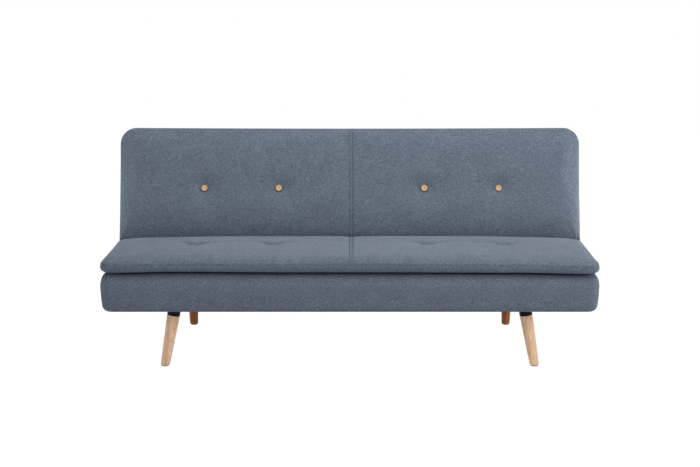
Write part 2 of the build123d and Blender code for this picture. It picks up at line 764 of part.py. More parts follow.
def hinge_arm(side):
    """Cranked arm with a notched hub round the pivot, bolted to the hinge stile."""
    half = ARM_THICKNESS / 2
    low, high = -ARM_DROP - ARM_WIDTH / 2, -ARM_DROP + ARM_WIDTH / 2
    upper = [(0, ARM_ROOT_HALF), (ARM_CRANK_TOP, ARM_ROOT_HALF), (ARM_CRANK_TOP + ARM_CRANK_RUN, high)]
    lower = [(ARM_CRANK_BOTTOM + ARM_CRANK_RUN, low), (ARM_CRANK_BOTTOM, -ARM_ROOT_HALF), (0, -ARM_ROOT_HALF)]
    shape = make_face(Polyline(*upper, (ARM_LENGTH, high), (ARM_LENGTH, low), *lower, close=True))
    body = cross_rod(-half, half, HUB_RADIUS) + extrude(Plane.YZ * shape, amount=half, both=True)
    for recline in (-RELEASE, 0, LOUNGE, FOLD):
        body -= hub_notch(recline)
    body -= cross_rod(-half, half, PIN_RADIUS + RUN_FIT)
    for y in ARM_BOLT_PLACES:
        body -= cross_rod(-half, half, ARM_BOLT_RADIUS + LOOSE, y, -ARM_DROP)
    return Pos(side * LEG_X, 0, 0) * body


def arm_bolts():
    """Bolts through the arms and the hinge stiles, heads outside."""
    bolts = []
    for side in SIDES:
        outer = LEG_X + ARM_THICKNESS / 2
        inner = STILE_FACE - BACK_STILE - ARM_NUT
        for y in ARM_BOLT_PLACES:
            head = cross_rod(side * outer, side * (outer + ARM_BOLT_HEAD), ARM_BOLT_HEAD_RADIUS, y, -ARM_DROP)
            bolts.append(head + cross_rod(side * inner, side * outer, ARM_BOLT_RADIUS, y, -ARM_DROP))
    return bolts


def arm_nuts():
    """Hexagon nuts on the inner ends of the arm bolts."""
    nuts = []
    for side in SIDES:
        inner = STILE_FACE - BACK_STILE - ARM_NUT
        middle = side * (inner + ARM_NUT / 2)
        for y in ARM_BOLT_PLACES:
            face = Plane.YZ * (RegularPolygon(ARM_NUT_RADIUS, 6) - Circle(ARM_BOLT_RADIUS + RUN_FIT))
            nuts.append(Pos(middle, y, -ARM_DROP) * extrude(face, amount=ARM_NUT / 2, both=True))
    return nuts


def at_hinge(side, part):
    """Hinge piece moved from the pivot at the origin to its side of the frame."""
    return Pos(side * LEG_X, PIVOT_Y, PIVOT_Z) * part


def hinge_bracket(side):
    """Two cheeks on a foot, standing on the runner."""
    floor = RUNNER_TOP - PIVOT_Z
    half = RUNNER_WIDTH / 2
    body = block((-half, half), (-CHEEK_FRONT, CHEEK_REAR), (floor, floor + BRACKET_FOOT))
    for cheek_side in SIDES:
        x = sorted((cheek_side * CHEEK_INNER, cheek_side * CHEEK_OUTER))
        cheek = block(x, (-CHEEK_REAR / 2, CHEEK_REAR), (floor, PAWL_PIN_Z + PAWL_EYE_RADIUS))
        cheek += block(x, (-CHEEK_HEAD_RADIUS, CHEEK_HEAD_RADIUS), (floor, 0))
        cheek += cross_rod(*x, CHEEK_HEAD_RADIUS)
        body += cheek
    body -= cross_rod(-CHEEK_OUTER, CHEEK_OUTER, PIN_RADIUS + RUN_FIT)
    body -= cross_rod(-CHEEK_OUTER, CHEEK_OUTER, PAWL_PIN_RADIUS + RUN_FIT, PAWL_PIN_Y, PAWL_PIN_Z)
    return at_hinge(side, body)


def headed_pin(radius, head_radius, y=0, z=0):
    """Pin through both cheeks with a flat head on each side."""
    body = cross_rod(-CHEEK_OUTER, CHEEK_OUTER, radius, y, z)
    for end in SIDES:
        body += cross_rod(end * CHEEK_OUTER, end * (CHEEK_OUTER + PIN_HEAD), head_radius, y, z)
    return body


def hinge_pin(side):
    return at_hinge(side, headed_pin(PIN_RADIUS, PIN_HEAD_RADIUS))


def pawl_pins():
    pin = headed_pin(PAWL_PIN_RADIUS, PAWL_EYE_RADIUS - PIN_HEAD, PAWL_PIN_Y, PAWL_PIN_Z)
    return [at_hinge(side, pin) for side in SIDES]


def pawl(side):
    """Pawl with one tooth, drawn dropped clear of the hub."""
    half = ARM_THICKNESS / 2
    tooth_top = NOTCH_DEPTH - HUB_RADIUS - PAWL_TOOTH_CLEAR
    body = block((-half, half), (PAWL_NOSE, PAWL_PIN_Y), (PAWL_BAR_BOTTOM, PAWL_BAR_TOP))
    body += block((-half, half), (-PAWL_TOOTH_HALF, PAWL_TOOTH_HALF), (PAWL_BAR_BOTTOM, tooth_top))
    body += cross_rod(-half, half, PAWL_EYE_RADIUS, PAWL_PIN_Y, PAWL_PIN_Z)
    body -= cross_rod(-half, half, PAWL_PIN_RADIUS + RUN_FIT, PAWL_PIN_Y, PAWL_PIN_Z)
    to_pin = Pos(0, PAWL_PIN_Y, PAWL_PIN_Z)
    dropped = to_pin * Rot(PAWL_LIFT, 0, 0) * to_pin.inverse() * body
    return at_hinge(side, dropped)


def pawl_springs():
    """Bent leaf springs on the bracket feet, just under the dropped pawls."""
    floor = RUNNER_TOP - PIVOT_Z + BRACKET_FOOT
    sunk = math.sin(math.radians(PAWL_LIFT)) * (PAWL_PIN_Y - PAWL_NOSE)
    tip = PAWL_BAR_BOTTOM - sunk - PAWL_SPRING
    x = (-PAWL_SPRING_HALF_WIDTH, PAWL_SPRING_HALF_WIDTH)
    leaf = block(x, (PAWL_NOSE, PAWL_PIN_Y), (floor, floor + PAWL_SPRING))
    leaf += block(x, (PAWL_PIN_Y - PAWL_SPRING, PAWL_PIN_Y), (floor, tip))
    leaf += block(x, (PAWL_NOSE, PAWL_PIN_Y), (tip - PAWL_SPRING, tip))
    return [at_hinge(side, leaf) for side in SIDES]


# All pieces by name

def sided(name, make):
    """A left and a right piece from one function."""
    return {name + "_left": make(-1), name + "_right": make(1)}


def build_nodes():
    nodes = {}
    corners = [(end, side) for end in ("front", "rear") for side in SIDES]
    for end, side in corners:
        corner = end + ("_left" if side < 0 else "_right")
        nodes["leg_" + corner] = leg(end, side)
        nodes["collar_" + corner] = collar(end, side)
    nodes["leg_plates"] = [leg_plate(*corner) for corner in corners]
    nodes["leg_inserts"] = [leg_insert(*corner) for corner in corners]
    nodes["foot_glides"] = [glide(*corner) for corner in corners]
    nodes["plate_screws"] = [screw for corner in corners for screw in plate_screws(*corner)]
    nodes.update(sided("runner", runner))
    nodes["front_cross_tube"] = cross_tube(FRONT_LEG_DEPTH)
    nodes["middle_cross_tube"] = cross_tube(PIVOT_Y - FRONT_Y)
    nodes["rear_cross_tube"] = cross_tube(REAR_LEG_DEPTH)
    nodes["runner_end_caps"] = end_caps()
    nodes["bed_bumpers"] = bumpers()
    nodes["seat_front_rail"] = seat_front_rail()
    nodes["seat_rear_rail"] = seat_rear_rail()
    nodes["seat_end_rails"] = [seat_end_rail(side) for side in SIDES]
    nodes["seat_bearers"] = [seat_bearer(side) for side in SIDES]
    nodes["seat_middle_rail"] = seat_middle_rail()
    nodes["seat_bolts"] = seat_bolts()
    nodes["seat_springs"] = seat_springs()
    nodes["spring_clips"] = spring_clips()
    nodes["seat_foam"] = seat_foam()
    nodes["seat_cover"] = seat_cover()
    nodes["seat_dust_cover"] = dust_cover()
    shell = pad_shell()
    nodes["pad_upper_panel"] = pad_upper(shell)
    nodes["pad_lower_panel"] = pad_lower(shell)
    nodes["pad_core"] = pad_core()
    nodes["pad_tuft_ties"] = tuft_ties()
    nodes.update(sided("hinge_bracket", hinge_bracket))
    nodes["hinge_pins"] = [hinge_pin(side) for side in SIDES]
    nodes.update(sided("pawl", pawl))
    nodes["pawl_pins"] = pawl_pins()
    nodes["pawl_springs"] = pawl_springs()
    flat = {
        "back_cover": back_cover(),
        "back_foam": back_foam(),
        "back_rear_panel": back_rear_panel(),
        "back_top_rail": back_top_rail(),
        "back_bottom_rail": back_bottom_rail(),
        "back_middle_stile": back_middle_stile(),
        "back_outer_rails": [back_outer_rail(side) for side in SIDES],
        "back_end_stiles": [back_end_stile(side) for side in SIDES],
        "back_hinge_stiles": [back_hinge_stile(side) for side in SIDES],
        "back_webbing": back_webbing(),
        "button_cords": button_cords(),
        "arm_bolts": arm_bolts(),
        "arm_nuts": arm_nuts(),
    }
    flat.update(sided("hinge_arm", hinge_arm))
    for name, x in zip(("left_inner", "left_outer", "right_inner", "right_outer"), button_places()):
        flat["button_" + name] = button(x)
    for name, part in flat.items():
        nodes[name] = [raised(p) for p in part] if isinstance(part, list) else raised(part)
    return nodes


os.makedirs("parts", exist_ok=True)
for node, part in build_nodes().items():
    shape = Compound(children=list(part)) if isinstance(part, list) else part
    export_step(shape, "parts/" + node + ".step")
print("pivot", round(PIVOT_Y, 3), round(PIVOT_Z, 3))
print("pawl pin", round(PIVOT_Y + PAWL_PIN_Y, 3), PIVOT_Z + PAWL_PIN_Z)
feet = [foot_place(end, side) for end in ("front", "rear") for side in SIDES]
print("feet", [tuple(round(v, 3) for v in foot) for foot in feet])
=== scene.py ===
# %% [markdown]
# A click-clack sofa bed, dressed for the camera. The solid model already holds every rigid piece:
# legs, collars, frame, hinges and buttons. What it lacks is cloth. This lesson builds the seat box,
# the pad, the backrest and the dust cloth as soft surfaces, settles the pad and the backrest with a
# short cloth simulation, sews their seams and gives every piece a finish. We start by loading the
# solids and keeping their box.

# %% Load the frame
import json
import math

import bpy
import numpy as np
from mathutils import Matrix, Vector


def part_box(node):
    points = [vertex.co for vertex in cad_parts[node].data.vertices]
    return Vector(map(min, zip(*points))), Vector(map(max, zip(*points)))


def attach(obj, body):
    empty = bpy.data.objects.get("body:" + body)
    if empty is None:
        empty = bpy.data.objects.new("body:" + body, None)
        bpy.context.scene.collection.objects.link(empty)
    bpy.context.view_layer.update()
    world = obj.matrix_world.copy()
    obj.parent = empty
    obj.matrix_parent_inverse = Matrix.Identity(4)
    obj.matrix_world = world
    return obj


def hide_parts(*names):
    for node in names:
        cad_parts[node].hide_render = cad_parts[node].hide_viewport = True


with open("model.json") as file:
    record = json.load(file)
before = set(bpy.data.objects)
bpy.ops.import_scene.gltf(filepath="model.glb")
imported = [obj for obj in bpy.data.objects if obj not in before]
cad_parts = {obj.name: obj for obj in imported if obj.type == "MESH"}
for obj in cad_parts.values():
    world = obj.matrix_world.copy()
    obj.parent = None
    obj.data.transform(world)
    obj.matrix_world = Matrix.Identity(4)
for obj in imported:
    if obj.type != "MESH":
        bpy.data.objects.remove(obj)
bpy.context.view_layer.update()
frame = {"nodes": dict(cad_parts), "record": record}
nodes = frame["nodes"]
recline = next(j for j in frame["record"]["behaviour"]["joints"] if j["name"] == "backrest_recline")
PIVOT = np.array(recline["pos_m"])
print("loaded", len(nodes), "solids; pivot at", PIVOT)

# %% [markdown]
# Every upholstered piece here is a slab with rounded corners. Its surface is two sheets that meet
# in one line round the rim. Each sheet is a grid: the outermost grid lines are rings that carry the
# rolled edge, the inner ones are evenly spaced. In the corners, square rings are bent into round
# ones, so the roll keeps its radius all the way round.

# %% A slab from two sheets
def grid_lines(half, corner, rings, spacing, extra=()):
    """Places of the grid lines along one axis.

    The outer lines step evenly through the corner radius, one for each ring; between them the
    step is the spacing, and extra places are put in so that a narrow seam has lines of its own.
    """
    outer = half - np.linspace(0, 0.9 * corner, rings)
    inner = outer[-1]
    count = int(round(2 * inner / spacing))
    middle = np.linspace(-inner, inner, count + 1)[1:-1]
    if len(extra):
        keep = np.min(np.abs(middle[:, None] - np.asarray(extra)[None, :]), axis=1) > 0.45 * spacing
        middle = np.sort(np.concatenate([middle[keep], extra]))
    return np.concatenate([-outer, middle, outer[::-1]])


def ring_numbers(rows, cols, rings):
    """Number of the ring each grid point lies on, counted from the rim; inner points get rings."""
    i, j = np.meshgrid(np.arange(rows), np.arange(cols), indexing="ij")
    i = np.minimum(i, rows - 1 - i)
    j = np.minimum(j, cols - 1 - j)
    return np.minimum(np.minimum(i, j), rings), i, j


def slab_sheet(size, corner, profile, lines, crown):
    """One sheet of a slab as a grid of points.

    profile holds (inset, height) for each ring from the rim inwards. A point on ring k of a corner
    lies at the corner's centre plus (corner - inset k) in the direction of 45 degrees times min/max
    of its two grid shares, so every ring is a true offset of the rim. Inner points take their height
    from crown(inset), with the inset rounded off where two sides are equally near.
    """
    half_x, half_y = size[0] / 2, size[1] / 2
    insets, heights = np.asarray(profile).T
    rings = len(insets)
    x, y = np.meshgrid(*lines, indexing="ij")
    ring, i, j = ring_numbers(*x.shape, rings)
    a = np.clip((np.abs(x) - half_x + corner) / corner, 0, None)
    b = np.clip((np.abs(y) - half_y + corner) / corner, 0, None)
    big = np.maximum(np.maximum(a, b), 1e-9)
    angle = np.where(a >= b, 0.25 * np.pi * b / big, 0.5 * np.pi - 0.25 * np.pi * a / big)
    known = np.append(insets, 0.0)
    reach = np.where(ring < rings, corner - known[ring], corner * big)
    in_corner = (a > 0) & (b > 0)
    side_x = np.where(i < rings, half_x - known[np.minimum(i, rings)], np.abs(x))
    side_y = np.where(j < rings, half_y - known[np.minimum(j, rings)], np.abs(y))
    flat_x = np.sign(x) * np.where(in_corner, half_x - corner + reach * np.cos(angle), side_x)
    flat_y = np.sign(y) * np.where(in_corner, half_y - corner + reach * np.sin(angle), side_y)
    near_x, near_y = half_x - np.abs(flat_x), half_y - np.abs(flat_y)
    soft = 0.012
    inset = -soft * np.log(np.exp(-near_x / soft) + np.exp(-near_y / soft))
    height = np.where(ring < rings, np.append(heights, 0.0)[ring], crown(inset))
    return np.stack([flat_x, flat_y, height], axis=-1)


def sheet_faces(index, flip):
    """Quads of a grid of vertex numbers, turned over if flip."""
    corners = [index[:-1, :-1], index[1:, :-1], index[1:, 1:], index[:-1, 1:]]
    quads = np.stack(corners, axis=-1).reshape(-1, 4)
    return quads[:, ::-1] if flip else quads


def join_sheets(upper, lower):
    """Vertices and faces of two sheets that share their rim; the upper sheet's points come first."""
    rows, cols = upper.shape[:2]
    first = np.arange(rows * cols).reshape(rows, cols)
    inner = np.zeros((rows, cols), bool)
    inner[1:-1, 1:-1] = True
    second = first.copy()
    second[inner] = rows * cols + np.arange(inner.sum())
    points = np.concatenate([upper.reshape(-1, 3), lower[inner]])
    return points, sheet_faces(first, False), sheet_faces(second, True)


def quarter_roll(radius, low, high, steps):
    """Rows of a rolled edge: inset r(1 - cos t), height low + (high - low) sin t, t up to 90 degrees."""
    t = np.linspace(0, 0.5 * np.pi, steps + 1)
    return list(zip(radius * (1 - np.cos(t)), low + (high - low) * np.sin(t)))


def pull_in(points, size, pull):
    """Draws the middle of each side in by pull, fading to nothing at the corners."""
    share_x = np.clip(np.abs(points[..., 0]) / (size[0] / 2), 0, 1)
    share_y = np.clip(np.abs(points[..., 1]) / (size[1] / 2), 0, 1)
    points[..., 0] *= 1 - 2 * pull / size[0] * (1 - share_y ** 2)
    points[..., 1] *= 1 - 2 * pull / size[1] * (1 - share_x ** 2)


def make_mesh(name, points, faces):
    """Mesh object from arrays, smooth shaded, in the scene."""
    mesh = bpy.data.meshes.new(name)
    mesh.from_pydata(points.tolist(), [], faces.tolist())
    mesh.polygons.foreach_set("use_smooth", np.ones(len(mesh.polygons), bool))
    mesh.update()
    obj = bpy.data.objects.new(name, mesh)
    bpy.context.scene.collection.objects.link(obj)
    return obj


def mesh_points(mesh):
    """Vertex places of a mesh as one array."""
    flat = np.empty(3 * len(mesh.vertices))
    mesh.vertices.foreach_get("co", flat)
    return flat.reshape(-1, 3)


def set_points(obj, points):
    """Puts an array of places back into an object's mesh."""
    obj.data.vertices.foreach_set("co", np.ascontiguousarray(points).ravel())
    obj.data.update()


print("slab tools ready")

# %% [markdown]
# The cover is a melange: threads of several blue-greys spun together, woven plain. From a few steps
# away it reads as slate blue with light and dark flecks. We layer three sizes of noise for the
# flecks and one broad cloud over them. A fine crossed wave for the weave drives the bump.

# %% Node helpers
def new_material(name):
    """Empty node material with a Principled shader."""
    material = bpy.data.materials.new(name)
    material.use_nodes = True
    tree = material.node_tree
    tree.nodes.clear()
    out = tree.nodes.new("ShaderNodeOutputMaterial")
    shader = tree.nodes.new("ShaderNodeBsdfPrincipled")
    tree.links.new(shader.outputs[0], out.inputs[0])
    return material, tree, shader


def add(tree, kind, **values):
    """Node with its settings and unlinked inputs filled in."""
    node = tree.nodes.new(kind)
    for key, value in values.items():
        if hasattr(node, key):
            setattr(node, key, value)
        else:
            node.inputs[key.replace("_", " ")].default_value = value
    return node


def noise(tree, coordinates, scale, detail, roughness):
    """Fractal noise over the given coordinates."""
    node = add(tree, "ShaderNodeTexNoise", Scale=scale, Detail=detail, Roughness=roughness)
    tree.links.new(coordinates, node.inputs["Vector"])
    return node.outputs["Fac"]


def ramp(tree, value, stops):
    """Colour ramp from (place, colour) stops."""
    node = tree.nodes.new("ShaderNodeValToRGB")
    band = node.color_ramp
    while len(band.elements) < len(stops):
        band.elements.new(0.5)
    for element, (place, colour) in zip(band.elements, stops):
        element.position = place
        element.color = (*colour, 1)
    tree.links.new(value, node.inputs[0])
    return node.outputs["Color"]


def mix(tree, factor, first, second, blend="MIX"):
    """Blend of two colours; factor and colours are sockets or plain values."""
    node = tree.nodes.new("ShaderNodeMix")
    node.data_type = "RGBA"
    node.blend_type = blend
    for socket, value in ((node.inputs[0], factor), (node.inputs[6], first), (node.inputs[7], second)):
        if isinstance(value, bpy.types.NodeSocket):
            tree.links.new(value, socket)
        else:
            socket.default_value = (*value, 1) if isinstance(value, tuple) else value
    return node.outputs[2]


def math_node(tree, operation, first, second=None):
    """Result of one sum; both terms are sockets or plain values."""
    node = tree.nodes.new("ShaderNodeMath")
    node.operation = operation
    for socket, value in zip(node.inputs, (first, second)):
        if isinstance(value, bpy.types.NodeSocket):
            tree.links.new(value, socket)
        elif value is not None:
            socket.default_value = value
    return node.outputs[0]


def object_coordinates(tree):
    """Places in the object's own frame, in metres."""
    return tree.nodes.new("ShaderNodeTexCoord").outputs["Object"]


def bump(tree, shader, height, strength, distance):
    """Fine relief on a shader from a height."""
    node = add(tree, "ShaderNodeBump", Strength=strength, Distance=distance)
    tree.links.new(height, node.inputs["Height"])
    tree.links.new(node.outputs[0], shader.inputs["Normal"])


print("node helpers ready")

# %% Cover fabric
def weave(tree, coordinates, pitch):
    """Plain weave as the product of two sine waves across and along the cloth."""
    split = tree.nodes.new("ShaderNodeSeparateXYZ")
    tree.links.new(coordinates, split.inputs[0])
    turns = 2 * math.pi / pitch
    along = math_node(tree, "ADD", split.outputs["Y"], split.outputs["Z"])
    warp = math_node(tree, "SINE", math_node(tree, "MULTIPLY", split.outputs["X"], turns))
    weft = math_node(tree, "SINE", math_node(tree, "MULTIPLY", along, turns))
    return math_node(tree, "MULTIPLY", warp, weft)


def cover_material(name, dark, middle, light):
    """Melange cloth: fine and coarse flecks round a middle colour, matt, with a woven bump."""
    material, tree, shader = new_material(name)
    place = object_coordinates(tree)
    fine = noise(tree, place, 620, 3.0, 0.7)
    slubs = add(tree, "ShaderNodeMapping", Scale=(0.75, 1.0, 1.0))
    tree.links.new(place, slubs.inputs["Vector"])
    coarse = noise(tree, slubs.outputs[0], 225, 3.0, 0.65)
    specks = noise(tree, place, 330, 1.0, 0.5)
    cloud = noise(tree, place, 14, 2.0, 0.5)
    fine_share = math_node(tree, "MULTIPLY", fine, 0.4)
    flecks = math_node(tree, "ADD", fine_share, math_node(tree, "MULTIPLY", coarse, 0.6))
    colour = ramp(tree, flecks, ((0.35, dark), (0.5, middle), (0.67, light)))
    dots = ramp(tree, specks, ((0.60, (1.0, 1.0, 1.0)), (0.72, (0.68, 0.69, 0.72))))
    soft = ramp(tree, cloud, ((0.3, (0.96, 0.96, 0.96)), (0.7, (1.06, 1.06, 1.06))))
    speckled = mix(tree, 1.0, colour, dots, "MULTIPLY")
    tree.links.new(mix(tree, 1.0, speckled, soft, "MULTIPLY"), shader.inputs["Base Color"])
    shader.inputs["Roughness"].default_value = 0.95
    shader.inputs["Specular IOR Level"].default_value = 0.15
    shader.inputs["Sheen Weight"].default_value = 0.06
    shader.inputs["Sheen Roughness"].default_value = 0.5
    height = math_node(tree, "ADD", weave(tree, place, 0.0022), math_node(tree, "MULTIPLY", fine, 1.5))
    bump(tree, shader, height, 0.35, 0.0006)
    return material


FABRIC = cover_material(
    "cover_fabric", (0.058, 0.075, 0.100), (0.113, 0.140, 0.177), (0.205, 0.232, 0.268)
)
THREAD = cover_material(
    "sewing_thread", (0.030, 0.040, 0.058), (0.052, 0.066, 0.088), (0.080, 0.096, 0.120)
)
print("cover fabric and thread ready")

# %% [markdown]
# The rigid pieces keep their solid shapes and only need finishes. The legs are turned from oak, oiled
# pale, with the grain running down their length; the rear pair gets a darker copy of the oak, painted
# shade for the shadow under the seat. The buttons are turned from a redder wood with the grain across
# their faces; their darker middle and dark rim are painted shade. Steel, plastic, rubber and felt are
# plainer, but none is a single flat colour.

# %% Wood
def oak_material(name, pale, deep, pores):
    """Oak with the grain along Z: noise drawn out along the leg, with fine dark pores."""
    material, tree, shader = new_material(name)
    place = object_coordinates(tree)
    stretch = add(tree, "ShaderNodeMapping", Scale=(1.0, 1.0, 0.06))
    tree.links.new(place, stretch.inputs["Vector"])
    bands = noise(tree, stretch.outputs[0], 95, 3.0, 0.55)
    fibres = noise(tree, stretch.outputs[0], 620, 2.0, 0.6)
    colour = ramp(tree, bands, ((0.32, deep), (0.62, pale)))
    dark = ramp(tree, fibres, ((0.36, pores), (0.52, (1.0, 1.0, 1.0))))
    tree.links.new(mix(tree, 1.0, colour, dark, "MULTIPLY"), shader.inputs["Base Color"])
    rough = ramp(tree, bands, ((0.3, (0.5, 0.5, 0.5)), (0.7, (0.38, 0.38, 0.38))))
    tree.links.new(rough, shader.inputs["Roughness"])
    shader.inputs["Specular IOR Level"].default_value = 0.1
    shader.inputs["Coat Weight"].default_value = 0.25
    shader.inputs["Coat Roughness"].default_value = 0.24
    bump(tree, shader, fibres, 0.12, 0.0004)
    return material


BUTTON_RADIUS = 0.0145


def button_material(name, middle, pale, deep, rim):
    """Turned button: grain across its face, with painted shade: a darker middle where the dish lies and
    a dark rim where shadow falls round it.

    The distance from the button's own middle picks the tone, so the painted shade lies in rings round
    the middle.
    """
    material, tree, shader = new_material(name)
    place = object_coordinates(tree)
    stretch = add(tree, "ShaderNodeMapping", Scale=(1.0, 0.2, 0.2))
    tree.links.new(place, stretch.inputs["Vector"])
    grain = noise(tree, stretch.outputs[0], 900, 3.0, 0.6)
    away = tree.nodes.new("ShaderNodeVectorMath")
    away.operation = "DISTANCE"
    away.inputs[1].default_value = middle
    tree.links.new(place, away.inputs[0])
    from_middle = math_node(tree, "MULTIPLY", away.outputs["Value"], 1 / BUTTON_RADIUS)
    # The deep middle and the rim are painted shade: the shading of the dish and the shadow round the
    # button.
    tone_and_shade = ramp(tree, from_middle, ((0.18, deep), (0.40, pale), (0.70, pale), (0.90, rim)))
    shade = ramp(tree, grain, ((0.35, (0.82, 0.80, 0.76)), (0.65, (1.0, 1.0, 1.0))))
    tree.links.new(mix(tree, 1.0, tone_and_shade, shade, "MULTIPLY"), shader.inputs["Base Color"])
    shader.inputs["Roughness"].default_value = 0.42
    bump(tree, shader, grain, 0.1, 0.0002)
    return material


OAK = oak_material("oak", (0.93, 0.665, 0.435), (0.72, 0.475, 0.29), (0.76, 0.70, 0.64))
# The rear legs' oak is a darker, redder copy of the same oak: painted shade for the shadow under the
# seat.
SHADED_OAK = oak_material("shaded_oak", (0.50, 0.172, 0.050), (0.31, 0.098, 0.029), (0.7, 0.64, 0.58))
print("oak and its painted shade copy ready")

# %% Metal, plastic and the rest
def speckled_material(name, dark, light, scale, rough, metallic=0.0, relief=0.05, shine=0.5):
    """Colour that wanders between two close tones, with a fine relief of the same noise."""
    material, tree, shader = new_material(name)
    grain = noise(tree, object_coordinates(tree), scale, 3.0, 0.6)
    tree.links.new(ramp(tree, grain, ((0.35, dark), (0.65, light))), shader.inputs["Base Color"])
    shader.inputs["Roughness"].default_value = rough
    shader.inputs["Metallic"].default_value = metallic
    shader.inputs["Specular IOR Level"].default_value = shine
    bump(tree, shader, grain, relief, 0.0003)
    return material


# For each finish: dark tone, light tone, scale of the grain, roughness and what else differs.
PLAIN_FINISHES = {
    "black_plastic": ((0.0012, 0.0012, 0.0016), (0.0026, 0.0026, 0.0030), 180, 0.14, {"shine": 0.08}),
    "felt": ((0.10, 0.09, 0.08), (0.19, 0.175, 0.16), 900, 0.97, {"relief": 0.4}),
    "black_steel": ((0.014, 0.014, 0.015), (0.024, 0.024, 0.025), 1400, 0.5, {"relief": 0.2}),
    "zinc_steel": ((0.52, 0.53, 0.54), (0.68, 0.69, 0.70), 260, 0.34, {"metallic": 1.0}),
    "rubber": ((0.012, 0.012, 0.012), (0.022, 0.022, 0.022), 500, 0.82, {"relief": 0.15}),
    "pine": ((0.55, 0.38, 0.20), (0.66, 0.49, 0.29), 70, 0.7, {"relief": 0.1}),
    "foam": ((0.62, 0.55, 0.36), (0.74, 0.67, 0.47), 700, 0.98, {"relief": 0.5}),
    "dust_cloth": ((0.012, 0.012, 0.013), (0.032, 0.032, 0.034), 850, 0.95, {"relief": 0.3}),
    "webbing": ((0.05, 0.05, 0.05), (0.11, 0.11, 0.11), 800, 0.9, {"relief": 0.35}),
}
# The deep and rim tones are painted shade; only the pale tone is the wood's own colour.
BUTTON_WOOD_AND_SHADE = {"pale": (0.61, 0.40, 0.21), "deep": (0.47, 0.255, 0.125), "rim": (0.16, 0.085, 0.04)}

finishes = {"cover_fabric": FABRIC, "oak": OAK}
for name, (dark, pale, scale, rough, others) in PLAIN_FINISHES.items():
    finishes[name] = speckled_material(name, dark, pale, scale, rough, **others)
for part in frame["record"]["subparts"]:
    solid = nodes[part["node"]]
    solid.data.materials.clear()
    if part["material_slot"] == "button_wood":
        middle = np.mean(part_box(part["node"]), axis=0).tolist()
        solid.data.materials.append(button_material(part["node"], middle, **BUTTON_WOOD_AND_SHADE))
    # The rear legs take the darker copy of the oak, painted shade for the shadow they stand in under the
    # seat.
    elif part["node"].startswith("leg_rear"):
        solid.data.materials.append(SHADED_OAK)
    else:
        solid.data.materials.append(finishes[part["material_slot"]])

# %% [markdown]
# Padded pieces come next. Each begins as a slab of the right size. The upper sheets of the pad and the
# backrest are then treated as cloth: the simulation blows them up a little against the places where
# they are sewn down, the way foam pushes against a cover. No point may move further than a few
# millimetres, so the piece keeps its size.

# %% Settling a cover over its foam
FRAMES = 20
PRESSURE = 4.0


def settle(name, sheet, held, cap):
    """Inflates a sheet as cloth for twenty frames and returns the settled grid.

    held is true where the cloth is sewn or glued down. The move of every point is shortened to
    cap * tanh(move / cap), so that large moves level off smoothly.
    """
    index = np.arange(sheet[..., 0].size).reshape(sheet.shape[:2])
    cover = make_mesh(name, sheet.reshape(-1, 3), sheet_faces(index, False))
    group = cover.vertex_groups.new(name="held")
    group.add(np.flatnonzero(held.ravel()).tolist(), 1.0, "REPLACE")
    modifier = cover.modifiers.new("Cloth", "CLOTH")
    cloth = modifier.settings
    cloth.quality = 4
    cloth.mass = 0.25
    cloth.tension_stiffness = 12
    cloth.compression_stiffness = 12
    cloth.shear_stiffness = 4
    cloth.bending_stiffness = 0.3
    cloth.vertex_group_mass = "held"
    cloth.use_pressure = True
    cloth.uniform_pressure_force = PRESSURE
    cloth.effector_weights.gravity = 0
    modifier.collision_settings.use_collision = False
    modifier.collision_settings.use_self_collision = False
    modifier.point_cache.frame_end = FRAMES
    scene = bpy.context.scene
    for number in range(1, FRAMES + 1):
        scene.frame_set(number)
    settled = cover.evaluated_get(bpy.context.evaluated_depsgraph_get())
    move = mesh_points(settled.data).reshape(sheet.shape) - sheet
    bpy.data.objects.remove(cover)
    scene.frame_set(1)
    length = np.maximum(np.linalg.norm(move, axis=-1, keepdims=True), 1e-9)
    move *= cap * np.tanh(length / cap) / length
    largest = 1000 * float(np.linalg.norm(move, axis=-1).max())
    print(name, "settled, largest move", round(largest, 1), "mm")
    return sheet + move


def fade(value, start, end):
    """Smooth step from 0 at start to 1 at end: 3 t^2 - 2 t^3."""
    t = np.clip((value - start) / (end - start), 0, 1)
    return t * t * (3 - 2 * t)


def hollow(points, middle, flat, spread):
    """Share of a hollow's depth: 1 within flat of the middle, then exp(-((r - flat) / spread)^2)."""
    away = np.hypot(points[..., 0] - middle[0], points[..., 1] - middle[1])
    return np.exp(-(np.maximum(away - flat, 0) / spread) ** 2)


SEAM_X = 0.0040
SEAM_DEPTH = 0.0022
SEAM_HALF = 0.0068
STITCH_GAP = 0.0058


def seam_groove(points):
    """Depth of a topstitched seam: a shallow fold, and a furrow under each row of stitches."""
    across = points[..., 0] - SEAM_X
    fold = 0.4 * np.exp(-(across / 0.0016) ** 2)
    furrows = np.exp(-((np.abs(across) - STITCH_GAP) / 0.0015) ** 2)
    return SEAM_DEPTH * (fold + furrows)


half_seam = np.array([0.0012, 0.0026, 0.0042, 0.0050, STITCH_GAP, 0.0066, 0.0074, 0.0092, 0.0125])
SEAM_LINES = SEAM_X + np.concatenate([-half_seam[::-1], [0.0], half_seam])
print("cloth tools ready")

# %% [markdown]
# The seat box is a stretched cover, stapled under the box. Its ends are full and its lower edge
# is rolled in, so it is a plain slab with a slight belly, open below where the dust cloth closes it.

# %% Seat box cover
box_low, box_high = (np.array(corner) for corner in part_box("seat_cover"))
box_size = (box_high - box_low)[:2]
box_middle = 0.5 * (box_low + box_high)
BOX_CORNER = 0.045
BOX_BELLY = 0.307
FRONT_TUCK = 0.0075
RIGHT_SAG = 0.0045
LEFT_FULLNESS = 0.0034


